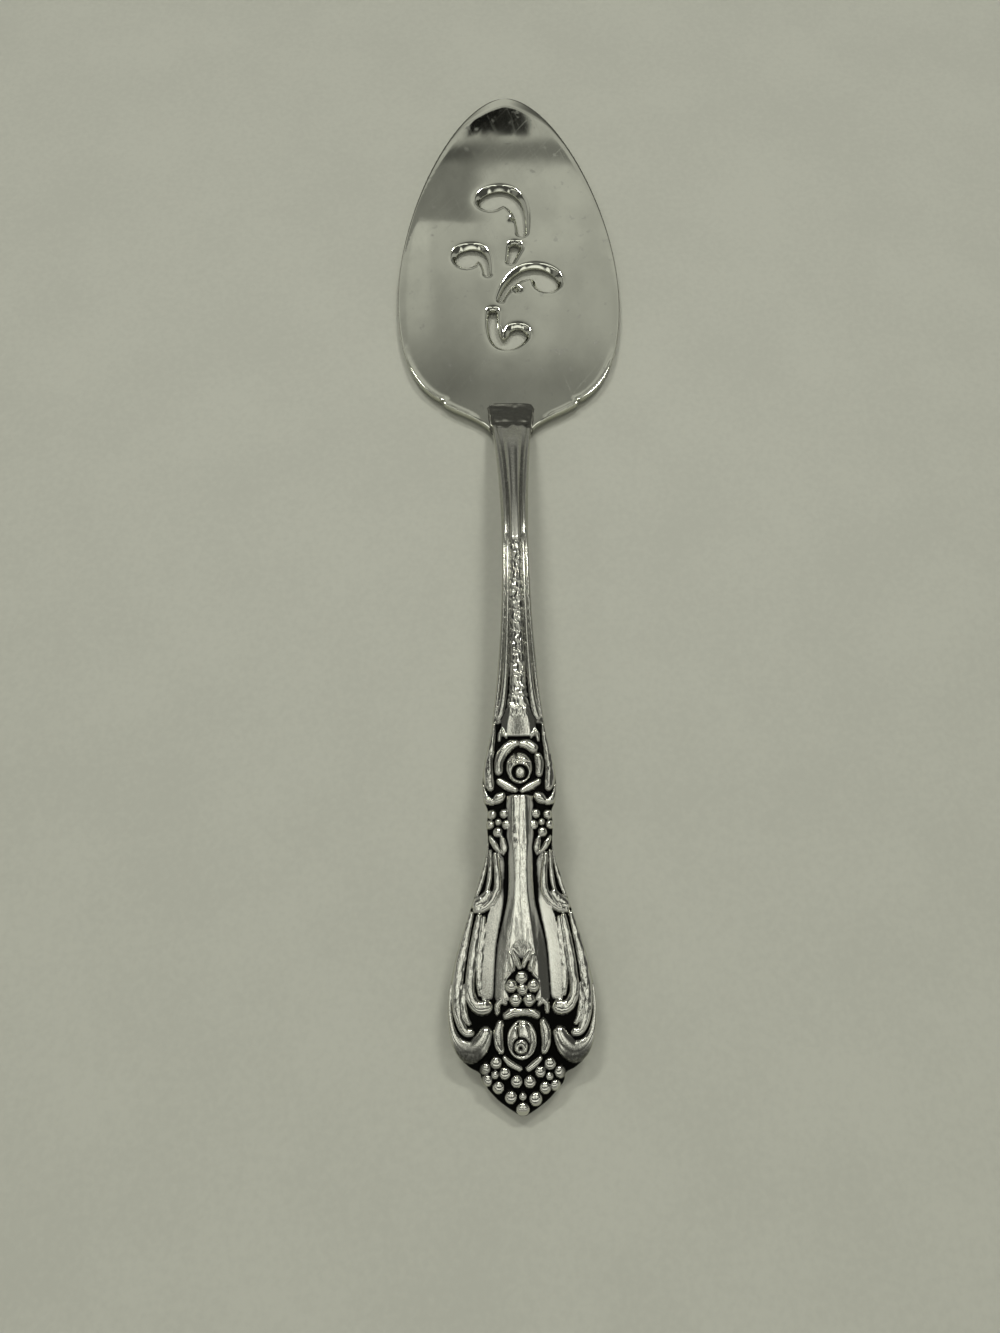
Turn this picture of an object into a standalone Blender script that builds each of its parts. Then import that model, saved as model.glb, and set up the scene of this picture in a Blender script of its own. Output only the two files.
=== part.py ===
"""Pierced pie server: a flat spade blade brazed under the foot of a cranked, arched handle.

Units are metres and +Z is up. The server lies face up, with the blade's tip along +Y and the
handle's butt along -Y. The origin is on the surface it lies on, under the middle of its length.
"""

import math

import bmesh
import bpy
from mathutils import Vector

# Blade: a spade of sheet steel, with a tongue at the heel that goes under the handle's foot.
BLADE_LENGTH = 0.109
BLADE_WIDTH = 0.0535
BLADE_THICKNESS = 0.0015
BLADE_EDGE_ROUND = 0.00035
WIDEST_FROM_HEEL = 0.043
TIP_FULLNESS = 0.0115
FLANK_FULLNESS = 0.030
SHOULDER_WIDTH = 0.0332
SHOULDER_FROM_HEEL = 0.0119
SHOULDER_FLARE = 0.0072
SHOULDER_ANGLE = 34.0
SHOULDER_FULLNESS = 0.018
NOTCH_DEPTH = 0.0014
HEEL_END_INSET = 0.0010
HEEL_END_DROP = 0.0012
HEEL_SWEEP = 0.0055
HEEL_FLARE = 0.0052
HEEL_ANGLE = 40.0
TONGUE_CORNER = 0.0012

# Piercing: five comma cuts round a centre at this distance from the heel. Each comma is a row of
# circles down a Bezier path, given by its four corners: (across, along, radius) from the centre.
PIERCING_FROM_HEEL = 0.053
PIERCING = {
    "crown_comma": [(-0.0043, 0.0200, 0.0031), (0.0000, 0.0240, 0.0032), (0.0040, 0.0185, 0.0016),
                    (0.0034, 0.0091, 0.00115)],
    "side_comma": [(-0.0103, 0.0014, 0.0031), (-0.0072, 0.0042, 0.0022), (-0.0054, 0.0010, 0.0010),
                   (-0.0052, -0.0039, 0.00085)],
    "teardrop": [(0.0017, 0.0045, 0.0016), (0.0013, 0.0031, 0.00135), (0.0009, 0.0015, 0.00115),
                 (0.0005, 0.0000, 0.0009)],
    "long_comma": [(0.0094, -0.0062, 0.0032), (0.0076, -0.0014, 0.0019), (0.0010, -0.0026, 0.0016),
                   (-0.0020, -0.0120, 0.0008)],
    "hook": [(0.0020, -0.0224, 0.0025), (-0.0008, -0.0270, 0.0019), (-0.0046, -0.0254, 0.0014),
             (-0.0039, -0.0160, 0.00125)],
}

# Handle: a struck grip, a slim shank and a foot that laps over the blade's tongue.
GRIP_LENGTH = 0.070
GRIP_WIDTH = 0.0263
GRIP_THICKNESS = 0.0024
SHANK_LENGTH = 0.079
SHANK_WIDTH = 0.0054
SHANK_THICKNESS = 0.0031
WAIST_ABOVE_GRIP = 0.036
FOOT_WIDTH = 0.0104
FOOT_EDGE_THICKNESS = 0.0005
FOOT_SEAT_LENGTH = 0.007
LAP_LENGTH = 0.010
ARCH_HEIGHT = 0.013
ARCH_PEAK_FROM_BUTT = 0.096

# How quickly the handle's lines leave the grip, spread to the foot and leave the foot (powers).
GRIP_EASE = 2.2
FOOT_EASE = 1.7
CRANK_EASE = 2.2
SECTION_SQUARENESS = 4.0

# Brazed joint: a film of filler metal between tongue and foot, squeezed out round the foot.
BRAZE_FILM = 0.0002
BRAZE_SQUEEZE = 0.0003
JOINT_CLEARANCE = 0.0001

# Relief: how far each kind of struck ornament stands above the grip's ground.
SCROLL_RELIEF = 0.0008
PETAL_RELIEF = 0.0008
LEAF_RELIEF = 0.0007
BERRY_RELIEF = 0.0008
BUD_RELIEF = 0.0013
PANEL_RELIEF = 0.0009
THREAD_RELIEF = 0.0004
CREST_BERRY_RELIEF = PANEL_RELIEF + BERRY_RELIEF
CREST_LEAF_RELIEF = PANEL_RELIEF + LEAF_RELIEF

# The shank's middle rib and side threads, as shares of the shank's half width.
RIB_SHARE = 0.25
THREAD_PLACE_SHARE = 0.66
THREAD_SHARE = 0.14

# Places along Y and the foot's height, which the sizes above give.
HANDLE_LENGTH = GRIP_LENGTH + SHANK_LENGTH
OVERALL_LENGTH = HANDLE_LENGTH + BLADE_LENGTH - LAP_LENGTH
BUTT_Y = -OVERALL_LENGTH / 2
TIP_Y = OVERALL_LENGTH / 2
HEEL_Y = TIP_Y - BLADE_LENGTH
FOOT_FRONT_Y = BUTT_Y + HANDLE_LENGTH
FOOT_SEAT_Z = BLADE_THICKNESS + BRAZE_FILM + 2 * JOINT_CLEARANCE
SEAT_START = HANDLE_LENGTH - FOOT_SEAT_LENGTH
WAIST = GRIP_LENGTH + WAIST_ABOVE_GRIP

# The struck pattern is drawn in millimetres, as (across from the middle, along from the butt), on a
# board of this size, and stretches with the grip.
DRAWN_LENGTH = 70.0
DRAWN_WIDTH = 26.3
ACROSS_SCALE = GRIP_WIDTH / DRAWN_WIDTH
ALONG_SCALE = GRIP_LENGTH / DRAWN_LENGTH

# Outline of the grip as drawn: (along, half width).
GRIP_OUTLINE = [
    (0.0, 0.5), (3.0, 4.85), (5.5, 7.1), (7.0, 7.7), (8.0, 9.5), (10.0, 11.6), (13.0, 12.8),
    (17.0, 13.15), (21.0, 12.85), (28.0, 11.2), (36.0, 8.6), (46.0, 5.95), (49.0, 6.1),
    (51.5, 5.95), (53.5, 6.7), (56.0, 6.9), (60.0, 6.55), (66.0, 5.2), (70.0, 4.75),
]

# Scrolls as drawn, on both sides: (across, along, half width of the ridge).
SCROLLS = {
    "frame": [(4.75, 67.5, 0.4), (5.2, 65, 0.55), (5.75, 61, 0.65), (5.75, 57, 0.6), (5.0, 55.3, 0.5)],
    "cup": [(6.5, 56.2, 0.3), (6.4, 54, 0.4), (5.2, 53.0, 0.6), (3.8, 53.8, 0.95)],
    "side_inner": [(4.6, 43.6, 0.4), (4.25, 39.5, 0.5), (5.0, 36.2, 0.6), (7.0, 34.4, 0.6),
                   (8.3, 34.1, 0.4)],
    "side_middle": [(5.6, 44.5, 0.3), (5.85, 40.5, 0.35), (6.8, 36.8, 0.25)],
    "side_outer": [(6.2, 45.6, 0.3), (6.9, 41, 0.4), (8.2, 36, 0.45)],
    "outer": [(9.2, 33, 0.55), (10.6, 28, 0.75), (11.7, 23, 0.8), (11.9, 17.5, 0.7), (10.6, 13.9, 0.55),
              (9.3, 13.6, 0.5)],
    "rim": [(12.5, 19.5, 0.3), (12.6, 15, 0.4), (11.4, 11.6, 0.65), (9.2, 10.7, 0.95), (6.9, 12.6, 0.95)],
    "inner": [(7.0, 32.6, 0.6), (8.2, 27.5, 0.8), (8.9, 22, 0.8), (8.2, 18.3, 0.7), (6.3, 17.6, 0.75)],
}

# Leaves as drawn, on both sides.
LEAVES = {
    "bud_leaf": [(2.5, 64.6, 0.55), (3.3, 66.2, 0.15)],
    "outer_lobe": [(5.3, 46.5, 0.4), (4.7, 45.2, 0.5), (3.8, 44.2, 0.2)],
    "inner_lobe": [(3.0, 46.1, 0.45), (2.9, 45.0, 0.55), (3.1, 43.9, 0.2)],
}

# Petals of the two roses as drawn.
PETALS = {
    "upper_left": [(-0.5, 64.0, 0.5), (-2.6, 63.4, 0.65), (-4.0, 61.0, 0.6), (-3.9, 58.3, 0.55)],
    "upper_crown": [(0.5, 63.8, 0.5), (1.7, 63.6, 0.6), (2.8, 62.8, 0.65)],
    "upper_right": [(3.5, 61.2, 0.55), (3.75, 59.7, 0.65), (3.6, 58.0, 0.5)],
    "upper_low_left": [(-3.6, 56.5, 0.5), (-2.2, 55.4, 0.5), (-0.7, 54.9, 0.4)],
    "upper_low_right": [(3.2, 56.3, 0.4), (1.8, 55.3, 0.45), (0.5, 54.9, 0.4)],
    "lower_crown": [(-3.0, 16.4, 0.45), (0.0, 17.1, 0.5), (2.8, 16.4, 0.45)],
    "lower_left_corner": [(-2.7, 18.5, 0.3), (-4.2, 18.7, 0.4), (-4.5, 16.7, 0.3)],
    "lower_right_corner": [(2.7, 18.5, 0.3), (4.2, 18.7, 0.4), (4.5, 16.7, 0.3)],
    "lower_left": [(-3.8, 15.0, 0.5), (-4.2, 12.9, 0.6), (-3.9, 10.8, 0.45)],
    "lower_right": [(3.8, 15.2, 0.5), (4.2, 13.0, 0.65), (3.9, 10.7, 0.5)],
    "lower_low_left": [(-3.2, 9.2, 0.35), (-2.0, 8.3, 0.4), (-0.6, 7.6, 0.4)],
    "lower_low_right": [(3.2, 9.2, 0.35), (2.0, 8.3, 0.4), (0.6, 7.6, 0.4)],
}

# Rose buds as drawn: (across, along, half width, half length).
BUDS = {"upper_bud": (0.0, 59.2, 2.25, 3.0), "lower_bud": (0.0, 12.4, 2.55, 3.3)}

# Berry flowers as drawn: (across, along, radius of the ring, angle of its first berry).
BERRY_FLOWERS = {
    "left_shoulder": (-3.95, 49.3, 1.65, -90),
    "right_shoulder": (3.95, 49.3, 1.65, -90),
    "left_butt": (-4.75, 6.6, 1.9, 90),
    "right_butt": (4.75, 6.6, 1.9, 90),
    "butt": (0.0, 3.3, 2.1, -90),
}
BERRIES_IN_RING = 5
RING_BERRY_RADIUS = 0.9
MIDDLE_BERRY_RADIUS = 0.7

# The domed panel down the middle of the grip as drawn, with the flower and the leaves of its crest.
PANEL = [(0, 53.4, 1.5), (0, 50, 2.1), (0, 44, 2.0), (0, 38, 2.6), (0, 30, 4.0), (0, 24, 4.8), (0, 19.4, 5.0)]
CREST_FLOWER = (0.0, 20.6, 1.95, 90)
CREST_LEAF = [(1.8, 26.2, 0.25), (1.5, 24.9, 0.5), (0.9, 23.9, 0.25)]

# The wedge that runs from the upper rose up into the shank, as drawn.
WEDGE = [(0, 64.6, 2.6), (0, 66.6, 2.5), (0, 69.0, 1.5), (0, 71.0, 1.1)]

# Facets: steps along curves and points round sections.
OUTLINE_STEPS = 12
CORNER_STEPS = 4
COMMA_STEPS = 14
CAP_STEPS = 6
SWALLOWED_SHARE = 0.985
RING_POINTS = 12
RIDGE_SIDES = 6
RIDGE_STEPS = 2
DOME_SEGMENTS = 8
DOME_RINGS = 5
DRAWN_STATION = 1.3
SHANK_STATIONS = 24
THREAD_STATIONS = 14


def clear_scene():
    """Removes what the scene starts with."""
    for obj in list(bpy.data.objects):
        bpy.data.objects.remove(obj)


def steel(name, colour, roughness):
    """A bare steel material of that colour and roughness."""
    material = bpy.data.materials.new(name)
    material.use_nodes = True
    shader = material.node_tree.nodes["Principled BSDF"]
    shader.inputs["Base Color"].default_value = (*colour, 1.0)
    shader.inputs["Metallic"].default_value = 1.0
    shader.inputs["Roughness"].default_value = roughness
    return material


def new_group(name):
    """A collection for the helpers that a Boolean joins to a piece or cuts from it."""
    group = bpy.data.collections.new(name)
    bpy.context.scene.collection.children.link(group)
    return group


def add_piece(name, mesh, material):
    """Puts a piece of the server into the scene."""
    obj = bpy.data.objects.new(name, mesh)
    bpy.context.scene.collection.objects.link(obj)
    mesh.materials.append(material)
    return obj


def add_helper(name, mesh, group):
    """Puts a helper into its group, out of the render."""
    obj = bpy.data.objects.new(name, mesh)
    group.objects.link(obj)
    obj.hide_render = True
    obj.display_type = "WIRE"
    return obj


def combine(piece, operation, group):
    """Joins a group of helpers to a piece, or cuts them from it."""
    modifier = piece.modifiers.new(group.name, "BOOLEAN")
    modifier.operation = operation
    modifier.solver = "EXACT"
    modifier.operand_type = "COLLECTION"
    modifier.collection = group


def loft(name, rings):
    """A closed mesh through rings of equal count, with flat ends."""
    mesh = bpy.data.meshes.new(name)
    shape = bmesh.new()
    loops = [[shape.verts.new(point) for point in ring] for ring in rings]
    for near, far in zip(loops, loops[1:]):
        for i in range(len(near)):
            j = (i + 1) % len(near)
            shape.faces.new((near[i], near[j], far[j], far[i]))
    shape.faces.new(loops[0])
    shape.faces.new(loops[-1])
    bmesh.ops.recalc_face_normals(shape, faces=shape.faces)
    shape.to_mesh(mesh)
    shape.free()
    return mesh


def bezier(corners, steps):
    """Points of a cubic Bezier, its last point left out. Corners may have any number of parts."""
    points = []
    for i in range(steps):
        t = i / steps
        weights = ((1 - t) ** 3, 3 * t * (1 - t) ** 2, 3 * t * t * (1 - t), t**3)
        points.append(tuple(sum(w * c for w, c in zip(weights, parts)) for parts in zip(*corners)))
    return points


def smooth_curve(points, steps):
    """Points on a smooth curve through the given ones, ends included (Catmull-Rom)."""
    before_first = tuple(2 * a - b for a, b in zip(points[0], points[1]))
    after_last = tuple(2 * a - b for a, b in zip(points[-1], points[-2]))
    padded = [before_first, *points, after_last]
    curve = []
    for before, here, there, after in zip(padded, padded[1:], padded[2:], padded[3:]):
        leaving = [h + (t - b) / 6 for b, h, t in zip(before, here, there)]
        arriving = [t - (a - h) / 6 for h, t, a in zip(here, there, after)]
        curve += bezier((here, leaving, arriving, there), steps)
    return [*curve, tuple(points[-1])]


def ease(t):
    """0 to 1 with level ends."""
    t = min(1.0, max(0.0, t))
    return t * t * (3 - 2 * t)


def outline_slopes(points):
    """Slope at each point of a drawn line, level at its highs and lows so that it never overshoots."""
    rises = [(v - u) / (b - a) for (a, u), (b, v) in zip(points, points[1:])]
    inner = [2 * m * n / (m + n) if m * n > 0 else 0.0 for m, n in zip(rises, rises[1:])]
    return [rises[0], *inner, rises[-1]]


GRIP_SLOPES = outline_slopes(GRIP_OUTLINE)


def drawn_half_width(place):
    """Half width of the drawn grip at a drawn distance from the butt."""
    for i, (a, start) in enumerate(GRIP_OUTLINE[:-1]):
        b, end = GRIP_OUTLINE[i + 1]
        if place <= b:
            span = b - a
            leaving = start + GRIP_SLOPES[i] * span / 3
            arriving = end - GRIP_SLOPES[i + 1] * span / 3
            t = max(0.0, (place - a) / span)
            return ((1 - t) ** 3 * start + 3 * t * (1 - t) ** 2 * leaving
                    + 3 * t * t * (1 - t) * arriving + t**3 * end)
    return GRIP_OUTLINE[-1][1]


def half_width(along):
    """Half width of the handle at a distance from the butt."""
    if along <= GRIP_LENGTH:
        return ACROSS_SCALE * drawn_half_width(along / ALONG_SCALE)
    waist_half = SHANK_WIDTH / 2
    if along <= WAIST:
        share = (WAIST - along) / WAIST_ABOVE_GRIP
        return waist_half + (half_width(GRIP_LENGTH) - waist_half) * share**GRIP_EASE
    share = (along - WAIST) / (HANDLE_LENGTH - WAIST)
    return waist_half + (FOOT_WIDTH / 2 - waist_half) * share**FOOT_EASE


def underside(along):
    """Height of the handle's back: an arch up from the butt, then the crank down to the flat foot."""
    if along <= ARCH_PEAK_FROM_BUTT:
        return ARCH_HEIGHT * (1 - (1 - along / ARCH_PEAK_FROM_BUTT) ** 2)
    if along >= SEAT_START:
        return FOOT_SEAT_Z
    share = (SEAT_START - along) / (SEAT_START - ARCH_PEAK_FROM_BUTT)
    return FOOT_SEAT_Z + (ARCH_HEIGHT - FOOT_SEAT_Z) * (1 - (1 - share) ** CRANK_EASE)


def thickness(along):
    """Thickness of the handle without its relief: thin at the foot's front edge, full at the shank."""
    if along >= SEAT_START:
        share = ease((HANDLE_LENGTH - along) / FOOT_SEAT_LENGTH)
        return FOOT_EDGE_THICKNESS + (SHANK_THICKNESS - FOOT_EDGE_THICKNESS) * share
    share = ease((along - GRIP_LENGTH) / WAIST_ABOVE_GRIP)
    return GRIP_THICKNESS + (SHANK_THICKNESS - GRIP_THICKNESS) * share


def ground(across, along):
    """Height of the handle's plain top at a place."""
    reach = min(1.0, abs(across) / half_width(along))
    fall = (1 - reach**SECTION_SQUARENESS) ** (1 / SECTION_SQUARENESS)
    return underside(along) + thickness(along) / 2 * (1 + fall)


def handle_section(along):
    """One closed ring of the handle's rounded-rectangle section."""
    half = half_width(along)
    depth = thickness(along) / 2
    power = 2 / SECTION_SQUARENESS
    ring = []
    for i in range(RING_POINTS):
        angle = 2 * math.pi * i / RING_POINTS
        x = half * math.copysign(abs(math.cos(angle)) ** power, math.cos(angle))
        z = depth * math.copysign(abs(math.sin(angle)) ** power, math.sin(angle))
        ring.append(Vector((x, BUTT_Y + along, underside(along) + depth + z)))
    return ring


def handle_stations():
    """Distances from the butt at which the handle has a section: every drawn point and some between."""
    stations = []
    for (a, _), (b, _) in zip(GRIP_OUTLINE, GRIP_OUTLINE[1:]):
        count = math.ceil((b - a) / DRAWN_STATION)
        stations += [ALONG_SCALE * (a + (b - a) * i / count) for i in range(count)]
    return stations + [GRIP_LENGTH + SHANK_LENGTH * i / SHANK_STATIONS for i in range(SHANK_STATIONS + 1)]


def ridge(name, path, relief, group):
    """A round-backed ridge along (across, along, half width), sunk to its middle in the ground."""
    widest = max(half for _, _, half in path)
    rings = []
    for i, (x, along, half) in enumerate(path):
        x_before, along_before, _ = path[max(0, i - 1)]
        x_after, along_after, _ = path[min(len(path) - 1, i + 1)]
        heading = Vector((x_after - x_before, along_after - along_before, 0)).normalized()
        side = half * Vector((-heading.y, heading.x, 0))
        up = Vector((0, 0, relief * math.sqrt(half / widest)))
        centre = Vector((x, BUTT_Y + along, ground(x, along)))
        angles = [2 * math.pi * k / RIDGE_SIDES for k in range(RIDGE_SIDES)]
        rings.append([centre + side * math.cos(a) + up * math.sin(a) for a in angles])
    add_helper(name, loft(name, rings), group)


def drawn_ridge(name, drawn, relief, group, mirror=1):
    """A ridge from the drawn pattern. A mirror of -1 puts it on the other side of the grip."""
    path = [(mirror * across * ACROSS_SCALE, along * ALONG_SCALE, half * ACROSS_SCALE)
            for across, along, half in smooth_curve(drawn, RIDGE_STEPS)]
    ridge(name, path, relief, group)


def dome(name, across, along, half_across, half_along, relief, group):
    """A berry or a bud as drawn: an ellipsoid sunk to its middle in the ground."""
    mesh = bpy.data.meshes.new(name)
    shape = bmesh.new()
    bmesh.ops.create_uvsphere(shape, u_segments=DOME_SEGMENTS, v_segments=DOME_RINGS, radius=1)
    stretch = Vector((half_across * ACROSS_SCALE, half_along * ALONG_SCALE, relief))
    bmesh.ops.scale(shape, vec=stretch, verts=shape.verts)
    shape.to_mesh(mesh)
    shape.free()
    x = across * ACROSS_SCALE
    y = along * ALONG_SCALE
    add_helper(name, mesh, group).location = (x, BUTT_Y + y, ground(x, y))


def berry_flower(name, across, along, ring_radius, first_angle, relief, group):
    """A ring of berries round a smaller one."""
    dome(f"{name}_middle", across, along, MIDDLE_BERRY_RADIUS, MIDDLE_BERRY_RADIUS, relief, group)
    for i in range(BERRIES_IN_RING):
        angle = math.radians(first_angle + 360 * i / BERRIES_IN_RING)
        berry_across = across + ring_radius * math.cos(angle)
        berry_along = along + ring_radius * math.sin(angle)
        dome(f"{name}_berry_{i}", berry_across, berry_along, RING_BERRY_RADIUS, RING_BERRY_RADIUS,
             relief, group)


def shank_threads(group):
    """The middle rib and the two side threads that run from the grip up the shank to the foot."""
    rib = []
    thread = []
    for i in range(THREAD_STATIONS):
        along = GRIP_LENGTH + (SEAT_START - GRIP_LENGTH) * i / THREAD_STATIONS
        half = half_width(along)
        rib.append((0.0, along, RIB_SHARE * half))
        thread.append((THREAD_PLACE_SHARE * half, along, THREAD_SHARE * half))
    ridge("shank_rib", rib, THREAD_RELIEF, group)
    ridge("right_thread", thread, THREAD_RELIEF, group)
    ridge("left_thread", [(-x, along, half) for x, along, half in thread], THREAD_RELIEF, group)


def strike_relief(group):
    """Every ornament that stands up from the handle."""
    for side, mirror in (("left", -1), ("right", 1)):
        for name, drawn in SCROLLS.items():
            drawn_ridge(f"{side}_{name}_scroll", drawn, SCROLL_RELIEF, group, mirror)
        for name, drawn in LEAVES.items():
            drawn_ridge(f"{side}_{name}", drawn, LEAF_RELIEF, group, mirror)
        drawn_ridge(f"{side}_crest_leaf", CREST_LEAF, CREST_LEAF_RELIEF, group, mirror)
    for name, drawn in PETALS.items():
        drawn_ridge(f"{name}_petal", drawn, PETAL_RELIEF, group)
    for name, bud in BUDS.items():
        dome(name, *bud, BUD_RELIEF, group)
    for name, flower in BERRY_FLOWERS.items():
        berry_flower(name, *flower, BERRY_RELIEF, group)
    berry_flower("crest", *CREST_FLOWER, CREST_BERRY_RELIEF, group)
    drawn_ridge("panel", PANEL, PANEL_RELIEF, group)
    drawn_ridge("wedge", WEDGE, THREAD_RELIEF, group)
    shank_threads(group)


def make_handle():
    """The handle's bar, with its relief joined on."""
    bar = loft("handle", [handle_section(along) for along in handle_stations()])
    handle = add_piece("handle", bar, steel("struck_steel", (0.56, 0.56, 0.53), 0.22))
    relief = new_group("handle_relief")
    strike_relief(relief)
    combine(handle, "UNION", relief)


def away(start, length, degrees):
    """The point at a length and an angle from another."""
    angle = math.radians(degrees)
    return (start[0] + length * math.cos(angle), start[1] + length * math.sin(angle))


def blade_outline():
    """The blade's right edge from the tongue up to the tip, then its mirror image back."""
    half = FOOT_WIDTH / 2
    tongue_end = (half - TONGUE_CORNER, HEEL_Y)
    tongue_side = (half, HEEL_Y + TONGUE_CORNER)
    shoulder = (SHOULDER_WIDTH / 2, HEEL_Y + SHOULDER_FROM_HEEL)
    notch = (shoulder[0] - NOTCH_DEPTH, shoulder[1] - HEEL_END_DROP / 2)
    heel_end = (shoulder[0] - HEEL_END_INSET, shoulder[1] - HEEL_END_DROP)
    widest = (BLADE_WIDTH / 2, HEEL_Y + WIDEST_FROM_HEEL)
    tip = (0, TIP_Y)
    corner = (half, HEEL_Y)
    right = bezier((tongue_end, corner, corner, tongue_side), CORNER_STEPS)
    right += bezier((tongue_side, away(tongue_side, HEEL_SWEEP, 90),
                     away(heel_end, -HEEL_FLARE, HEEL_ANGLE), heel_end), OUTLINE_STEPS)
    right += [heel_end, notch]
    right += bezier((shoulder, away(shoulder, SHOULDER_FLARE, SHOULDER_ANGLE),
                     away(widest, -SHOULDER_FULLNESS, 90), widest), OUTLINE_STEPS)
    right += bezier((widest, away(widest, FLANK_FULLNESS, 90), away(tip, TIP_FULLNESS, 0), tip),
                    2 * OUTLINE_STEPS)
    return [*right, tip, *((-x, y) for x, y in reversed(right))]


def comma_outline(corners):
    """The outline round a comma's circles: both sides of its path and a round cap at each end."""
    centre_y = HEEL_Y + PIERCING_FROM_HEEL
    circles = []
    for x, y, radius in [*bezier(corners, COMMA_STEPS), corners[-1]]:
        circles.append((Vector((x, centre_y + y)), radius))
    headings = []
    leans = []
    for i in range(len(circles)):
        here, radius = circles[max(0, i - 1)]
        there, next_radius = circles[min(len(circles) - 1, i + 1)]
        headings.append(math.atan2(there.y - here.y, there.x - here.x))
        leans.append(math.acos((radius - next_radius) / (there - here).length))
    last = len(circles) - 1
    turns = [(i, leans[i]) for i in range(len(circles))]
    turns += [(last, leans[last] * (1 - 2 * i / CAP_STEPS)) for i in range(1, CAP_STEPS)]
    turns += [(i, -leans[i]) for i in reversed(range(len(circles)))]
    turns += [(0, -leans[0] - 2 * (math.pi - leans[0]) * i / CAP_STEPS) for i in range(1, CAP_STEPS)]
    outline = []
    for i, turn in turns:
        centre, radius = circles[i]
        angle = headings[i] + turn
        point = centre + radius * Vector((math.cos(angle), math.sin(angle)))
        if all((point - other).length > SWALLOWED_SHARE * reach for other, reach in circles):
            outline.append(point)
    return outline


def drawn_in(outline, distance):
    """A closed outline that runs anticlockwise, moved inward by a distance."""
    moved = []
    for before, here, after in zip([outline[-1], *outline], outline, [*outline[1:], outline[0]]):
        arriving = (Vector(here) - Vector(before)).normalized()
        leaving = (Vector(after) - Vector(here)).normalized()
        heading = (arriving + leaving).normalized()
        moved.append(Vector(here) + distance * Vector((-heading.y, heading.x)))
    return moved


def rounded_plate(name, outline, bottom, height, edge_round):
    """A flat plate within an anticlockwise outline, its edges eased top and bottom."""
    eased = drawn_in(outline, edge_round)
    levels = [(eased, bottom), (outline, bottom + edge_round), (outline, bottom + height - edge_round),
              (eased, bottom + height)]
    return loft(name, [[Vector((x, y, z)) for x, y in ring] for ring, z in levels])


def make_blade():
    """The blade's plate, with the piercing cut right through it."""
    plate = rounded_plate("blade", blade_outline(), 0.0, BLADE_THICKNESS, BLADE_EDGE_ROUND)
    blade = add_piece("blade", plate, steel("polished_steel", (0.60, 0.60, 0.56), 0.12))
    cutters = new_group("piercing")
    for name, corners in PIERCING.items():
        outline = comma_outline(corners)
        ends = (-BLADE_THICKNESS, 2 * BLADE_THICKNESS)
        add_helper(name, loft(name, [[Vector((x, y, z)) for x, y in outline] for z in ends]), cutters)
    combine(blade, "DIFFERENCE", cutters)


def make_braze():
    """The film of filler metal under the foot, squeezed out a little past its sides and front."""
    half = FOOT_WIDTH / 2 + BRAZE_SQUEEZE
    front = FOOT_FRONT_Y + BRAZE_SQUEEZE
    back = BUTT_Y + SEAT_START
    outline = [(-half, back), (half, back), (half, front), (-half, front)]
    film = rounded_plate("heel_braze", outline, BLADE_THICKNESS + JOINT_CLEARANCE, BRAZE_FILM, BRAZE_FILM / 4)
    add_piece("heel_braze", film, steel("filler_metal", (0.42, 0.42, 0.40), 0.4))


def main():
    clear_scene()
    make_blade()
    make_braze()
    make_handle()


main()
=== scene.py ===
# %% [markdown]
# # A pierced pie server in polished steel
# The real server is a flat blade of sheet steel and a struck handle, lapped over the blade's heel and
# brazed. Its solids are already packed as a fixed frame. In this lesson each solid gets a finer piece on
# top: the same outline and the same place, with the relief, the pressed edges and the finish that a close
# look shows.

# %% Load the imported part
import math

import bpy
import numpy as np
from mathutils import Matrix, Vector
from mathutils.geometry import delaunay_2d_cdt


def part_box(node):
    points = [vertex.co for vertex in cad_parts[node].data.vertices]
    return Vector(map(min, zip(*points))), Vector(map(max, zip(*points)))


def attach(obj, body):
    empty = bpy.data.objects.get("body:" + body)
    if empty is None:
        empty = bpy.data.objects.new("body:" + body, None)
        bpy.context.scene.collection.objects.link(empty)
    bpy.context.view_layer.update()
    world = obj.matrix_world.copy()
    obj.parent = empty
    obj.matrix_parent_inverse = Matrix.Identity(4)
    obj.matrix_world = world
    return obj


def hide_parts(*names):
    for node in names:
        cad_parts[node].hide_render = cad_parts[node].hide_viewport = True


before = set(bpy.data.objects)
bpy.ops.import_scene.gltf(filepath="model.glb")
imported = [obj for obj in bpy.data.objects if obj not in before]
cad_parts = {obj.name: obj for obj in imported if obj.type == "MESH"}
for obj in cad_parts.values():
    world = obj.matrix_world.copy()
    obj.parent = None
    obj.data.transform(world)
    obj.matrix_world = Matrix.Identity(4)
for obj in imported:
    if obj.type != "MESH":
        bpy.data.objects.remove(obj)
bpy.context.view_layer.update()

print("solids:", ", ".join(sorted(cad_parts)))

# %% [markdown]
# ## Measure before making
# Every piece starts from a measured solid, so that it lands where the solid is. The work is done in
# millimetres, because ornament is easier to read as 0.8 than as 0.0008, and is turned into metres when a
# mesh is made.

# %% Measure the solids
MM = 0.001


def solid_box(name):
    """Lowest and highest corner of a solid, in millimetres."""
    low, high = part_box(name)
    return np.array(low) / MM, np.array(high) / MM


handle_low, handle_high = solid_box("handle")
blade_low, blade_high = solid_box("blade")
film_top = solid_box("heel_braze")[1][2]
BUTT = handle_low[1]
HANDLE_LENGTH = handle_high[1] - BUTT
GRIP_HALF = handle_high[0]
PLATE = blade_high[2]
print(f"handle {HANDLE_LENGTH:.1f} mm, grip {2 * GRIP_HALF:.1f} mm, plate {PLATE:.2f} mm")

# %% [markdown]
# ## The handle's lines
# Seen from the side, the handle is an arch: up from the butt, level over the shank, then cranked down to
# a flat foot. A line like this could be a bent curve in the viewport. As a formula of the distance from
# the butt it stays smooth at any number of rows, and polished steel shows every flat spot.

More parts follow.
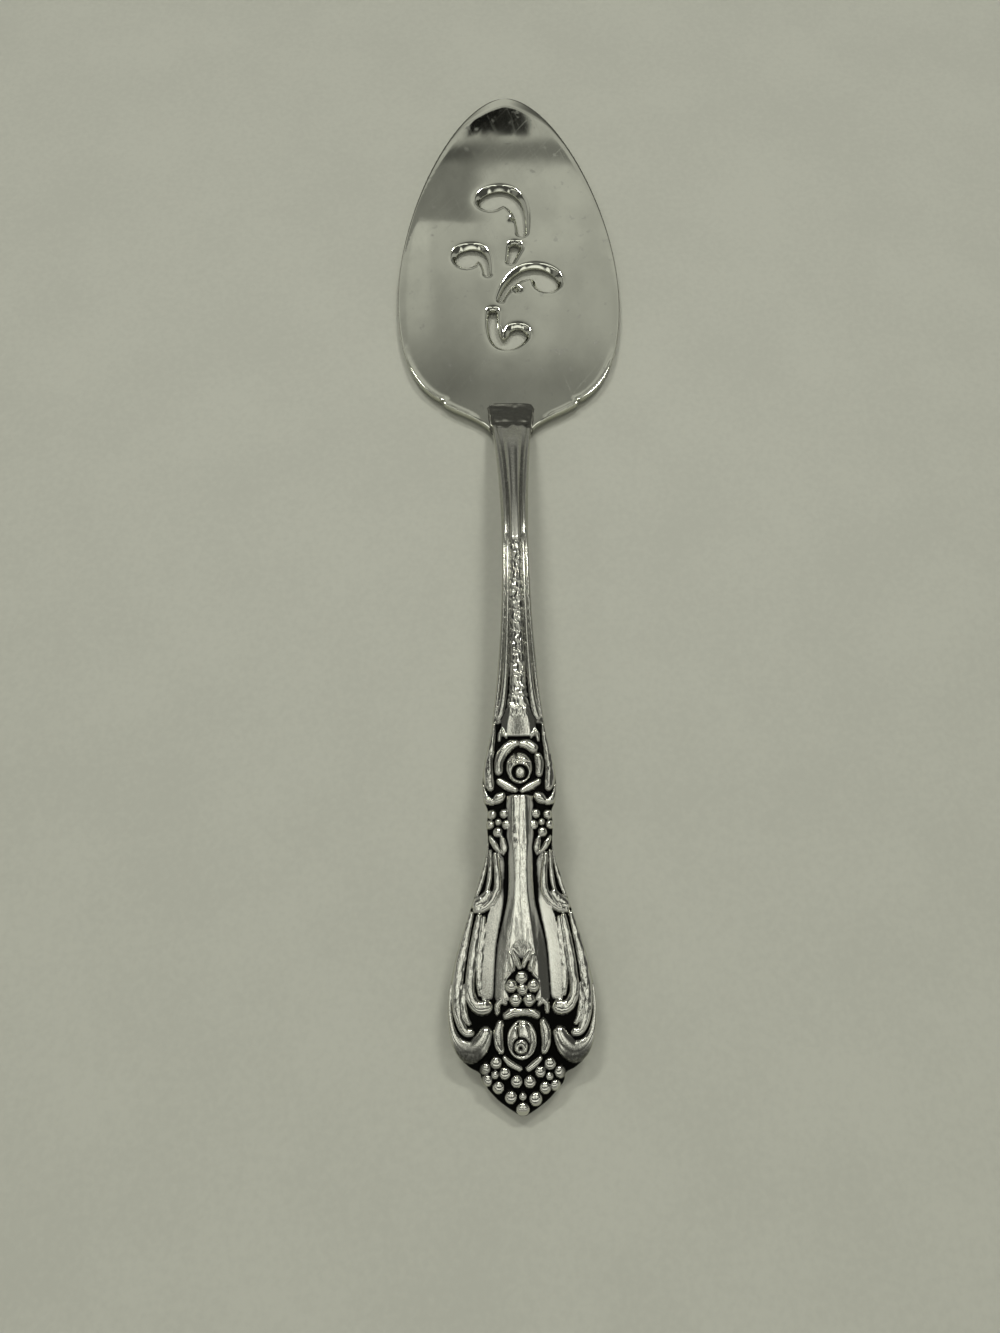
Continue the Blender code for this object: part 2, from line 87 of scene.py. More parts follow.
# %% Side view: the back's height and the bar's thickness
GRIP_LENGTH = 70.0
WAIST = 106.0
ARCH_PEAK = 96.0
ARCH_RISE = 13.0
FOOT_SEAT = 7.0
SEAT_START = HANDLE_LENGTH - FOOT_SEAT
BRAZE_GAP = 0.1
SEAT_HEIGHT = film_top + BRAZE_GAP
CRANK_EASE = 2.2
GRIP_THICKNESS = 2.4
SHANK_THICKNESS = 3.1
FOOT_EDGE = 0.5


def ease(t):
    """0 to 1 with level ends."""
    t = np.clip(t, 0, 1)
    return t * t * (3 - 2 * t)


def back_height(along):
    """Height of the handle's back at a distance from the butt."""
    arch = ARCH_RISE * (1 - (1 - along / ARCH_PEAK) ** 2)
    share = np.clip((SEAT_START - along) / (SEAT_START - ARCH_PEAK), 0, 1)
    crank = SEAT_HEIGHT + (ARCH_RISE - SEAT_HEIGHT) * (1 - (1 - share) ** CRANK_EASE)
    return np.where(along < ARCH_PEAK, arch, crank)


def bar_thickness(along):
    """Thickness of the handle under its relief."""
    to_waist = ease((along - GRIP_LENGTH) / (WAIST - GRIP_LENGTH))
    to_shank = ease((HANDLE_LENGTH - along) / FOOT_SEAT)
    bar = GRIP_THICKNESS + (SHANK_THICKNESS - GRIP_THICKNESS) * to_waist
    foot = FOOT_EDGE + (SHANK_THICKNESS - FOOT_EDGE) * to_shank
    return np.where(along < SEAT_START, bar, foot)


print(f"arch top at {back_height(np.array(ARCH_PEAK)):.1f} mm, foot on {SEAT_HEIGHT:.2f} mm")

# %% [markdown]
# Seen from above, the grip has an outline that was drawn by hand, so it is a smooth curve through a few
# points. The shank is a waist between grip and foot, which a formula gives, and the foot has round
# corners.

# %% Top view: the handle's half width
GRIP_OUTLINE = [
    (0.0, 0.5), (1.5, 2.9), (3.0, 4.85), (5.5, 7.1), (7.0, 7.7), (8.0, 9.5), (10.0, 11.6), (13.0, 12.8),
    (17.0, GRIP_HALF), (21.0, 12.85), (28.0, 11.2), (36.0, 8.6), (43.0, 6.45), (46.0, 5.95), (49.0, 6.1),
    (51.5, 5.95), (53.5, 6.7), (56.0, 6.9), (60.0, 6.55), (66.0, 5.2), (GRIP_LENGTH, 4.75),
]
SHANK_HALF = 2.7
FOOT_HALF = 5.2
FOOT_CORNER = 1.4
GRIP_EASE = 2.2
FOOT_EASE = 1.7


def smooth_path(points, spacing):
    """Points about every spacing on a smooth curve through the given ones (Catmull-Rom)."""
    knots = np.array(points, float)
    padded = np.vstack([2 * knots[0] - knots[1], knots, 2 * knots[-1] - knots[-2]])
    pieces = []
    for before, here, there, after in zip(padded, padded[1:], padded[2:], padded[3:]):
        steps = max(2, round(np.linalg.norm((there - here)[:2]) / spacing))
        t = np.linspace(0, 1, steps, endpoint=False)[:, None]
        bend = 2 * before - 5 * here + 4 * there - after
        twist = 3 * here - before - 3 * there + after
        pieces.append(here + 0.5 * ((there - before) * t + bend * t**2 + twist * t**3))
    return np.vstack([*pieces, knots[-1:]])


grip_line = smooth_path(GRIP_OUTLINE, 0.1)


def half_width(along):
    """Half width of the handle at a distance from the butt."""
    grip = np.interp(along, grip_line[:, 0], grip_line[:, 1])
    to_grip = np.clip((WAIST - along) / (WAIST - GRIP_LENGTH), 0, 1) ** GRIP_EASE
    to_foot = np.clip((along - WAIST) / (HANDLE_LENGTH - WAIST), 0, 1) ** FOOT_EASE
    shank = SHANK_HALF + (grip_line[-1, 1] - SHANK_HALF) * to_grip + (FOOT_HALF - SHANK_HALF) * to_foot
    short = np.clip(FOOT_CORNER - (HANDLE_LENGTH - along), 0, FOOT_CORNER)
    corner = FOOT_CORNER - np.sqrt(FOOT_CORNER**2 - short**2)
    return np.where(along < GRIP_LENGTH, grip, shank - corner)


print(f"outline of {len(grip_line)} points, waist {2 * half_width(np.array(WAIST)):.1f} mm")

# %% [markdown]
# ## A board to strike the relief on
# On the real handle a die strikes all the ornament at once. Berries and petals could be separate balls
# and tubes pushed into the bar, but then every one needs joining, and the creases between them stay hard.
# Here the die is drawn as a height map instead: a board of small cells, on which each ornament is a dome
# or a row of domes that raises the cells under it. The handle's mesh then takes its heights from the
# board.

# %% The board and its tools
CELL = 0.08
board_across = np.arange(-14.4, 14.4, CELL)
board_along = np.arange(-0.8, HANDLE_LENGTH + 0.8, CELL)
ACROSS, ALONG = np.meshgrid(board_across, board_along)
SIDE = np.abs(ACROSS)


def blank():
    """A fresh board with nothing struck on it."""
    return np.zeros_like(ACROSS)


def punch(board, across, along, half_across, half_along, height, foot=0.0, roundness=0.5):
    """Raises one dome that stands on foot, wherever it is higher than what is there."""
    columns = slice(*np.searchsorted(board_across, (across - half_across, across + half_across)))
    rows = slice(*np.searchsorted(board_along, (along - half_along, along + half_along)))
    window = (rows, columns)
    away = ((ACROSS[window] - across) / half_across) ** 2 + ((ALONG[window] - along) / half_along) ** 2
    dome = np.where(away < 1, foot + height * np.clip(1 - away, 0, 1) ** roundness, 0)
    board[window] = np.maximum(board[window], dome)


def stroke(board, points, height, foot=0.0, roundness=0.7):
    """Raises a round-backed ridge along (across, along, half width)."""
    path = smooth_path(points, 0.1)
    widest = path[:, 2].max()
    for across, along, half in path:
        punch(board, across, along, half, half, height * math.sqrt(half / widest), foot, roundness)


def mirrored(points):
    """The same points on the left of the grip."""
    return [(-across, *rest) for across, *rest in points]


def pair(board, points, height, foot=0.0):
    """A ridge on the right of the grip and its mirror image on the left."""
    stroke(board, points, height, foot)
    stroke(board, mirrored(points), height, foot)


print(f"board of {ACROSS.shape[1]} by {ACROSS.shape[0]} cells")

# %% [markdown]
# ## The grip's ground: domed panel and flutes
# Between the scrolls the grip isn't flat. A panel runs down its middle, with a low crown and steep flanks
# like a barrel, and beside it lie two smooth hollow flutes that rise to the scrolls. Two lines say where
# the panel ends and where the flute ends. Between those lines a formula gives the height, which keeps
# both surfaces fair enough for a mirror polish.

# %% Panel and flutes
PANEL_EDGE = [(54.0, 2.8), (50.0, 3.0), (46.0, 2.9), (42.0, 2.5), (36.0, 2.7), (29.0, 4.2),
              (25.0, 4.65), (18.8, 5.0)]
FLUTE_EDGE = [(45.0, 4.3), (42.0, 3.9), (38.0, 3.7), (36.0, 4.2), (34.0, 5.6), (32.0, 6.2), (29.0, 6.9),
              (25.0, 7.5), (21.0, 7.4), (18.8, 7.0)]
PANEL_HEIGHT = 1.4
CROWN = 0.36
FLANK = 0.56
BULGE = 0.8
CREST_DIP = 0.4
FLUTE_SLOPE = 0.19
FLUTE_HOLLOW = 0.06
PANEL_START = 18.2
PANEL_END = 54.6
CREST_END = 29.5
FLUTE_END = 45.0


def barrel(share, crown, flank, bulge):
    """Height of a bar with a low crown and steep flanks, 1 in the middle and 0 at its edge."""
    shares = np.linspace(0, 1, 201)
    fall = np.cumsum(bulge * shares + ease((shares - crown) / (flank - crown)))
    return 1 - np.interp(share, shares, fall / fall[-1])


def line_along(points):
    """A drawn line of (along, across) as a value for every row of the board."""
    line = smooth_path(points, 0.2)
    order = np.argsort(line[:, 0])
    return np.interp(board_along, line[order, 0], line[order, 1])[:, None]


panel_edge = line_along(PANEL_EDGE)
flute_edge = np.maximum(line_along(FLUTE_EDGE), panel_edge + 0.3)
panel = PANEL_HEIGHT * barrel(SIDE / panel_edge, CROWN, FLANK, BULGE)
panel = np.minimum(panel, PANEL_HEIGHT - CREST_DIP * ease((CREST_END - ALONG) / 5.0))
flute_width = flute_edge - panel_edge
flute_share = np.clip((SIDE - panel_edge) / flute_width, 0, 1)
flute = flute_width * (FLUTE_SLOPE * flute_share + FLUTE_HOLLOW * flute_share**2)
in_panel = ease((ALONG - PANEL_START) / 0.9) * ease((PANEL_END - ALONG) / 0.8)
in_flute = in_panel * ease((FLUTE_END - ALONG) / 1.5) * (SIDE < flute_edge)
relief = in_panel * panel + in_flute * flute
print(f"panel {PANEL_HEIGHT} mm high and up to {2 * panel_edge.max():.1f} mm wide")

# %% [markdown]
# ## Scrolls and bands
# Long ridges frame the grip: a border beside the upper rose, a hooked scroll at the waist, and below it
# two bands that sweep down and curl in. On the server the left and right sides are alike, so each ridge
# is drawn once and struck as a pair. Every point is (across, distance from the butt, half width), and the
# strike spreads the steel, so each ridge comes out a little fuller than it is drawn.

# %% Scrolls
SCROLLS = {
    "rose frame": [(4.75, 67.4, 0.4), (5.0, 65.0, 0.65), (5.4, 62.5, 0.8), (5.65, 60.0, 0.86),
                   (5.75, 58.0, 0.9), (5.6, 56.6, 0.88), (5.35, 55.7, 0.7)],
    "cup": [(6.75, 56.0, 0.3), (6.5, 54.4, 0.55), (5.85, 53.35, 0.62), (5.0, 53.0, 0.55)],
    "hook": [(4.6, 43.6, 0.4), (4.25, 40.5, 0.55), (4.2, 38.0, 0.62), (4.65, 36.6, 0.66),
             (5.55, 35.2, 0.68), (6.7, 34.3, 0.66), (8.1, 34.0, 0.5)],
    "hook back": [(5.9, 36.8, 0.7), (6.9, 35.6, 1.0), (8.1, 35.1, 0.9)],
    "hook line": [(5.4, 44.2, 0.3), (5.5, 41.0, 0.42), (5.8, 38.4, 0.42), (6.3, 37.0, 0.3)],
    "hook rim": [(6.0, 45.6, 0.3), (6.6, 41.8, 0.6), (7.4, 38.8, 0.66), (8.1, 36.8, 0.55)],
    "outer band": [(9.1, 33.2, 0.6), (9.9, 30.0, 0.85), (10.65, 26.5, 0.98), (11.3, 22.5, 1.0),
                   (11.5, 18.5, 0.88), (11.2, 16.0, 0.78), (10.5, 14.2, 0.74), (9.75, 13.5, 0.72),
                   (9.2, 13.5, 0.72)],
    "outer band line": [(10.2, 21.5, 0.3), (10.35, 18.4, 0.5), (10.0, 16.2, 0.52), (9.4, 15.1, 0.4)],
    "rim": [(12.75, 21.5, 0.3), (12.9, 18.0, 0.45), (12.75, 15.5, 0.62), (12.2, 13.2, 0.9),
            (11.3, 11.7, 1.2), (10.2, 10.8, 1.55), (8.9, 10.5, 1.75), (7.8, 11.2, 1.65),
            (6.95, 12.3, 1.4), (6.5, 13.3, 1.15)],
    "inner band": [(7.55, 32.8, 0.5), (8.25, 29.0, 0.74), (8.85, 25.0, 0.82), (9.25, 21.5, 0.82),
                   (9.05, 19.5, 0.85), (8.35, 18.2, 0.95), (7.4, 17.6, 1.05), (6.5, 17.7, 1.12)],
    "inner band line": [(6.7, 32.6, 0.35), (7.1, 29.0, 0.52), (7.6, 25.0, 0.54), (7.7, 22.0, 0.46),
                        (7.45, 19.8, 0.3)],
}
STEP = 0.3
SWELL = 0.62
FULLNESS = 1.12


def swell(points):
    """Height of a ridge over its foot: wide ridges are higher, narrow ones rounder."""
    return SWELL * max(half for *_, half in points) ** 0.7


scrolls = blank()
for points in SCROLLS.values():
    fuller = [(across, along, FULLNESS * half) for across, along, half in points]
    pair(scrolls, fuller, swell(points), STEP)
relief = np.maximum(relief, scrolls)
print(f"{2 * len(SCROLLS)} ridges, up to {scrolls.max():.2f} mm high")

# %% [markdown]
# ## Leaves and sepals
# Small leaves fill the corners: sepals over the upper rose, a leaf in each cup, two lobes under each
# upper flower and a few tips that reach over the panel. They could be modelled one by one. As short
# strokes that start and end thin they need three or four points each.

# %% Leaves
LEAVES = [
    [(3.65, 64.4, 0.3), (3.5, 65.5, 0.42), (3.2, 66.5, 0.15)],
    [(3.2, 66.4, 0.15), (2.8, 65.7, 0.34), (2.3, 64.9, 0.2)],
    [(4.4, 53.2, 0.7), (3.75, 53.7, 1.0), (3.2, 54.1, 0.7)],
    [(5.4, 46.7, 0.3), (4.9, 45.7, 0.56), (4.2, 44.6, 0.5), (3.5, 43.9, 0.2)],
    [(3.4, 46.6, 0.35), (3.05, 45.4, 0.66), (2.9, 44.6, 0.62), (3.05, 43.6, 0.2)],
]
PANEL_LEAVES = [
    [(-2.2, 26.6, 0.2), (-1.9, 25.4, 0.5), (-1.75, 24.2, 0.5), (-1.6, 23.4, 0.25)],
    [(-1.6, 26.9, 0.2), (-1.1, 25.8, 0.45), (-0.6, 24.6, 0.42), (-0.35, 24.0, 0.2)],
    [(1.5, 26.9, 0.2), (0.9, 25.8, 0.45), (0.4, 24.9, 0.4), (0.2, 24.2, 0.2)],
    [(2.0, 26.4, 0.2), (1.75, 25.2, 0.5), (1.6, 24.2, 0.5), (1.5, 23.4, 0.25)],
]
ON_PANEL = 0.85

leaves = blank()
for points in LEAVES:
    pair(leaves, points, swell(points), STEP)
for points in PANEL_LEAVES:
    stroke(leaves, points, swell(points), ON_PANEL + STEP)
relief = np.maximum(relief, leaves)
print(f"{2 * len(LEAVES) + len(PANEL_LEAVES)} leaves")

# %% [markdown]
# ## Berries
# Each berry flower is a ring of berries round a smaller one. The die was cut by hand, so the rings aren't
# exact, and the berries are set one by one as (across, distance from the butt, radius). Those at the butt
# and the shoulders reach over the grip's edge and scallop its outline, so each group has its own list.

# %% Berries
BUTT_BERRIES = [
    (-4.7, 8.6, 0.98), (-6.55, 7.7, 0.9), (-6.3, 5.8, 0.9), (-4.3, 4.7, 0.95), (-3.2, 6.9, 0.95),
    (-4.9, 6.7, 0.7), (4.7, 8.4, 0.98), (6.4, 7.1, 0.95), (5.6, 5.0, 0.85), (3.8, 4.6, 0.95),
    (3.0, 7.1, 0.9), (4.6, 6.4, 0.68), (-1.15, 5.6, 0.98), (1.15, 5.5, 0.98), (-2.15, 3.1, 0.98),
    (2.1, 2.8, 1.05), (-0.1, 3.2, 0.68), (-0.1, 1.15, 1.05),
]
SHOULDER_BERRIES = [
    (5.1, 50.7, 0.88), (2.9, 50.8, 0.88), (5.45, 48.9, 0.8), (2.45, 48.8, 0.9), (4.05, 47.5, 0.9),
    (3.95, 49.3, 0.66),
]
PANEL_BERRIES = [
    (-0.1, 22.5, 0.95), (-1.95, 21.1, 0.95), (1.95, 21.1, 0.95), (0.0, 20.5, 0.82), (-1.2, 18.8, 0.95),
    (1.2, 18.8, 0.95),
]
BERRY_HEIGHT = 0.62
BERRY_GROWTH = 1.12
CREST_PLACE = 20.6
CREST_HALF_ACROSS = 3.3
CREST_HALF_ALONG = 3.2

berries = blank()
groups = [
    (SHOULDER_BERRIES + mirrored(SHOULDER_BERRIES), 1.0, STEP),
    (BUTT_BERRIES, BERRY_GROWTH, STEP),
    (PANEL_BERRIES, BERRY_GROWTH, STEP + ON_PANEL),
]
for group, growth, foot in groups:
    for across, along, radius in group:
        punch(berries, across, along, growth * radius, growth * radius, BERRY_HEIGHT, foot)
crest_field = np.hypot(ACROSS / CREST_HALF_ACROSS, (ALONG - CREST_PLACE) / CREST_HALF_ALONG) < 1
relief = np.where(crest_field, np.minimum(relief, ON_PANEL), relief)
relief = np.maximum(relief, berries)
print(f"{len(BUTT_BERRIES) + 2 * len(SHOULDER_BERRIES) + len(PANEL_BERRIES)} berries")

# %% [markdown]
# ## Two roses
# A rose is a domed bud in a deep moat, with thick petals curled round it. The petals are strokes of
# changing width, set one by one, since no two of them are alike on the real die.

# %% Petals and buds
PETALS = [
    [(-0.45, 63.8, 0.65), (-1.6, 63.4, 0.95), (-2.95, 62.1, 1.0), (-3.75, 60.3, 0.95), (-3.8, 58.6, 0.85)],
    [(0.55, 63.7, 0.7), (1.6, 63.6, 0.95), (2.65, 62.9, 1.0)],
    [(3.5, 61.3, 0.75), (3.8, 60.0, 0.92), (3.65, 58.2, 0.75)],
    [(-3.6, 56.7, 0.7), (-2.2, 55.8, 0.8), (-0.75, 55.05, 0.6)],
    [(3.4, 56.6, 0.65), (2.0, 55.8, 0.78), (0.5, 54.95, 0.6)],
    [(-2.8, 16.3, 0.7), (-1.7, 16.85, 0.85), (0.0, 16.9, 0.7), (1.6, 16.8, 0.75), (2.5, 16.4, 0.7)],
    [(-2.9, 18.4, 0.4), (-3.7, 18.7, 0.55), (-4.4, 18.0, 0.5), (-4.4, 16.8, 0.42)],
    [(2.9, 18.2, 0.4), (3.7, 18.7, 0.5), (4.3, 18.2, 0.45), (4.4, 17.0, 0.4)],
    [(-3.95, 14.9, 0.7), (-4.3, 13.2, 0.95), (-4.15, 11.6, 0.92), (-3.8, 10.6, 0.65)],
    [(3.6, 15.2, 0.65), (4.0, 13.8, 0.95), (4.1, 12.0, 0.95), (3.75, 10.6, 0.7)],
    [(-3.2, 9.4, 0.45), (-2.2, 8.5, 0.65), (-0.6, 7.7, 0.55)],
    [(3.0, 9.3, 0.5), (2.0, 8.4, 0.7), (1.0, 7.7, 0.62)],
]
UPPER_BUD = (0.0, 59.2, 2.45, 2.85)
LOWER_BUD = (-0.15, 12.3, 2.65, 3.25)
BUD_HEIGHT = 1.05

roses = blank()
for points in PETALS:
    stroke(roses, points, swell(points), STEP)
for across, along, half_across, half_along in (UPPER_BUD, LOWER_BUD):
    punch(roses, across, along, half_across, half_along, BUD_HEIGHT, STEP)
relief = np.maximum(relief, roses)
print(f"{len(PETALS)} petals on two roses")

# %% [markdown]
# On the buds the petals are only lines, so they are cut: strokes on a fresh board that is then taken away
# from the relief. The upper bud has a round heart in a ring, the lower one a small pit.

# %% Lines cut into the buds
def ring(across, along, half_across, half_along, half):
    """Points of an oval line round a place."""
    angles = np.linspace(0, 2 * math.pi, 24)
    return [(across + half_across * math.cos(a), along + half_along * math.sin(a), half) for a in angles]


BUD_LINES = [
    (ring(0.15, 58.25, 1.2, 1.2, 0.46), 0.75),
    ([(-0.45, 62, 0.24), (-0.6, 61.2, 0.28), (-0.3, 60.5, 0.28), (0.6, 60.2, 0.28), (1.9, 60, 0.24)], 0.45),
    ([(-1.9, 60.2, 0.22), (-1.2, 60.4, 0.26), (-0.7, 60.0, 0.24)], 0.4),
    (ring(-0.15, 12.3, 2.15, 2.75, 0.24), 0.25),
    (ring(-0.3, 11.2, 1.35, 1.35, 0.3), 0.5),
    ([(-0.75, 15.2, 0.24), (-0.9, 13.9, 0.3), (-0.7, 12.6, 0.24)], 0.5),
    ([(0.85, 15.0, 0.22), (1.35, 13.3, 0.26), (1.35, 11.6, 0.22)], 0.4),
]
HEART = (0.1, 58.5, 0.8)
HEART_FOOT = 0.65
HEART_PIT = (-0.4, 10.9, 0.5)
PIT_DEPTH = 0.5
GROOVE_ROUNDNESS = 0.8

for points, depth in BUD_LINES:
    groove = blank()
    stroke(groove, points, depth, roundness=GROOVE_ROUNDNESS)
    relief = relief - groove
punch(relief, *HEART, HEART[2], BERRY_HEIGHT, HEART_FOOT)
pit = blank()
punch(pit, *HEART_PIT, HEART_PIT[2], PIT_DEPTH, roundness=GROOVE_ROUNDNESS)
relief = relief - pit
print(f"{len(BUD_LINES)} petal lines")

# %% [markdown]
# ## The shank
# A rib leaves the upper rose as a wedge and runs up the middle of the shank to the foot. Its lower half
# is roped, up to a small cut, and its upper half is plain. The rope could be two twisted strands. It is
# so fine that a ripple which runs aslant over the rib does as well, and breaks up its highlights as on
# the real one.

# %% Rib and rope
RIB_START = 64.9
ROPE_START = 68.0
ROPE_END = 105.8
RIB_EDGE = [(64.0, 3.9), (66.5, 3.7), (69.0, 3.1), (71.5, 2.3), (75.0, 1.75), (80.0, 1.5), (92.0, 1.35),
            (106.0, 1.2), (115.0, 1.2), (125.0, 1.5), (133.0, 1.95), (142.0, 2.7)]
RIB_HEIGHT = 0.6
ROPE_PITCH = 2.4
ROPE_RIPPLE = 0.12
ROPE_WANDER = 0.22
ROPE_CUT = 0.3
RIB_END = 143.0

rib_edge = line_along(RIB_EDGE)
in_rib = ease((ALONG - RIB_START) / 0.4) * ease((RIB_END - ALONG) / 12.0)
uneven = np.sin(0.71 * ALONG) + np.sin(1.37 * ALONG + 1.0) + np.sin(2.9 * ALONG + 2.0)
twist = ALONG / ROPE_PITCH + 0.6 * ACROSS / rib_edge + ROPE_WANDER * uneven
ripple = np.sin(2 * math.pi * twist) + 0.6 * np.sin(2 * math.pi * (1.7 * twist + ACROSS))
in_rope = ease((ALONG - ROPE_START) / 4.0) * ease((ROPE_END - ALONG) / 0.6)
rope_cut = ROPE_CUT * np.exp(-(((ALONG - ROPE_END - 0.1) / 0.22) ** 2))
rib_height = RIB_HEIGHT + ROPE_RIPPLE * ripple * in_rope - rope_cut
rib = in_rib * barrel(SIDE / rib_edge, 0.45, 0.75, 0.5) * rib_height
relief = np.maximum(relief, rib)
print(f"rope of {(ROPE_END - ROPE_START) / ROPE_PITCH:.0f} twists")

# %% [markdown]
# Two slim threads run beside the rope on either side. Above the rope they fade out, and a thicker rail
# takes their place on each side of the widening neck.

# %% Threads and rails
THREADS = [
    [(1.6, 107.0, 0.3), (1.7, 94.0, 0.38), (1.95, 86.0, 0.44), (2.3, 78.0, 0.52), (2.75, 73.0, 0.64),
     (3.25, 70.2, 0.7), (3.7, 69.0, 0.5)],
    [(2.35, 112.0, 0.3), (2.42, 105.0, 0.36), (2.58, 94.0, 0.4), (2.95, 86.0, 0.44), (3.5, 78.0, 0.46),
     (4.1, 72.5, 0.5), (4.45, 69.4, 0.4)],
]
RAIL = [(1.85, 104.0, 0.4), (2.05, 116.0, 0.52), (2.65, 125.0, 0.66), (3.45, 133.0, 0.84),
        (4.15, 139.0, 0.95), (4.4, 142.0, 0.7)]
THREAD_STEP = 0.12
THREAD_HEIGHT = 0.3
RAIL_HEIGHT = 0.5
THREAD_END = 110.0
RAIL_START = 105.0

threads, rails = blank(), blank()
for points in THREADS:
    pair(threads, points, THREAD_HEIGHT, THREAD_STEP)
pair(rails, RAIL, RAIL_HEIGHT)
threads = threads * ease((THREAD_END - ALONG) / 5.0)
rails = rails * ease((ALONG - RAIL_START) / 7.0)
relief = np.maximum.reduce([relief, threads, rails])
print(f"{2 * len(THREADS)} threads and 2 rails")

# %% [markdown]
# ## Where the foot was brazed
# Past the neck lies a squared pad, a little lower than the neck and dulled by the torch, with a crumpled
# bright seam where the two meet. Two sine waves of different lengths are enough to make the seam look
# unplanned.

# %% Pad and seam
SEAM = 140.6
PAD_DEPTH = 0.16
SEAM_HEIGHT = 0.14
CRUMPLE = 0.06

seam_line = SEAM + 0.5 * np.sin(1.1 * ACROSS + 0.4) + 0.35 * np.sin(2.7 * ACROSS + 1.3)
past_seam = (ALONG - seam_line) / 0.35
heat = ease(past_seam + 2.5)
relief = relief - PAD_DEPTH * ease(past_seam) + SEAM_HEIGHT * np.exp(-((past_seam + 0.6) ** 2))
print(f"seam {HANDLE_LENGTH - SEAM:.1f} mm behind the foot's front")

# %% [markdown]
# ## Years of handling
# A struck and polished ridge is never quite even. Small dents and long polishing marks make its
# highlights flicker. They are seeded noise, blurred to the size of a dent, so the handle comes out the
# same every time. The blur is done on the board's frequencies, which costs the same for any radius.
# Flutes, threads, roses and berries are left clean.

# %% Dents and polishing marks
RIDGE_DENT = 0.022
PANEL_DENT = 0.007
PANEL_MARK = 0.018
DENTED_FROM = 12.0


def blurred(board, radius_across, radius_along):
    """A board blurred by a bell curve of those radii."""
    across = np.fft.fftfreq(board.shape[1], CELL)[None, :] * radius_across
    along = np.fft.fftfreq(board.shape[0], CELL)[:, None] * radius_along
    bell = np.exp(-2 * math.pi**2 * (across**2 + along**2))
    return np.fft.ifft2(np.fft.fft2(board) * bell).real


def dents(seed, radius_across, radius_along):
    """Even noise of that grain, about 1 high."""
    noise = blurred(np.random.default_rng(seed).standard_normal(ACROSS.shape), radius_across, radius_along)
    return noise / noise.std()


ridges = np.maximum.reduce([scrolls, in_rope * rib, leaves])
on_ridges = np.clip(ridges / 0.4, 0, 1) * ease((ALONG - DENTED_FROM) / 6.0)
on_panel = in_panel * np.clip(panel / 0.7, 0, 1) ** 2
relief = relief + RIDGE_DENT * on_ridges * dents(3, 0.13, 0.36)
relief = relief + CRUMPLE * heat * dents(11, 0.5, 0.4)
relief = relief + on_panel * (PANEL_DENT * dents(5, 0.2, 0.32) + PANEL_MARK * dents(8, 0.3, 3.0))
print(f"relief from {relief.min():.2f} to {relief.max():.2f} mm")

# %% [markdown]
# ## Patina and painted shade
# Polish reaches the ridges and leaves the recesses dark. A recess is a place that lies lower than the
# average of its surroundings, so a blurred copy of the board shows it, once the board itself is taken
# away: narrow grooves come out dark and wide flutes stay bright. The deep field round roses and berries
# is dark all over, and the hollows of the rope are less polished. Painted shade darkens the lower rim,
# the shank and the flanks of the ornament near the butt and the upper rose in the same way.

# %% Recesses and the deep field
hollow = blurred(relief, 0.7, 0.7) - relief
on_ornament = 1 - in_panel * (SIDE < panel_edge)
field = ease((0.28 - relief) / 0.2) * ease((GRIP_LENGTH - 1.0 - ALONG) / 2.0) * (1 - in_flute) * on_ornament
patina_and_shade = np.maximum(ease((hollow - 0.03) / 0.22), 0.95 * field)
patina_and_shade = patina_and_shade * (1 - 0.4 * ease((ALONG - 72.0) / 8.0))
print(f"{100 * patina_and_shade[:, SIDE[0] < 5].mean():.0f}% of the middle of the board is recessed")

# %% Painted shade, and the less polished rope
# The rim, shank and flank shares are painted shade; the rope share is less polish in its hollows.
RIM_PAINTED_SHADE = 0.6
SHANK_PAINTED_SHADE = 0.38
ROPE_DULLNESS = 0.7
FLANK_PAINTED_SHADE = 0.75
ROSE_SHARE = 0.6

# painted shade: the lower rim is darkened, as its outer flank would mirror a dark room
lower_rim = ease((14.0 - ALONG) / 4.0) * ease((SIDE - 6.0) / 1.5)
# painted shade: the whole shank is darkened, so that its threads mirror the lamps less brightly
shank = ease((ALONG - 72.0) / 10.0)
rope_hollows = in_rope * ease((-ripple - 0.2) / 0.8) * (SIDE < 0.75 * rib_edge)
# painted shade: below their crests, the flanks of the ornament near the butt and the upper rose are
# darkened
near_butt = ease((16.0 - ALONG) / 5.0)
near_rose = ease((ALONG - 33.0) / 3.0) * ease((68.0 - ALONG) / 3.0)
flanks = ease((hollow + 0.35) / 0.5) * (1 - in_flute) * on_ornament * (near_butt + ROSE_SHARE * near_rose)
patina_and_shade = np.maximum(patina_and_shade, RIM_PAINTED_SHADE * lower_rim)
patina_and_shade = np.maximum(patina_and_shade, SHANK_PAINTED_SHADE * shank)
patina_and_shade = np.maximum(patina_and_shade, ROPE_DULLNESS * rope_hollows)
patina_and_shade = np.maximum(patina_and_shade, FLANK_PAINTED_SHADE * flanks)
print(f"{100 * patina_and_shade[:, SIDE[0] < 5].mean():.0f}% of the middle of the board is dark")

# %% [markdown]
# ## From board to handle
# The mesh is a row of closed rings from the butt to the foot. Each ring crosses the top, where the
# heights come from the board, and returns along the plain back. The grip needs fine rings for its
# berries. The shank doesn't, so there the ring has a third of the points, joined by a row of six-sided
# faces.

# %% Values between the cells, and the scalloped edge
def board_value(board, across, along):
    """Value of a board at any place, blended between its cells."""
    column = np.clip((across - board_across[0]) / CELL, 0, board.shape[1] - 1.001)
    row = np.clip((along - board_along[0]) / CELL, 0, board.shape[0] - 1.001)
    c, r = column.astype(int), row.astype(int)
    right, down = column - c, row - r
    near = board[r, c] * (1 - right) + board[r, c + 1] * right
    far = board[r + 1, c] * (1 - right) + board[r + 1, c + 1] * right
    return near * (1 - down) + far * down


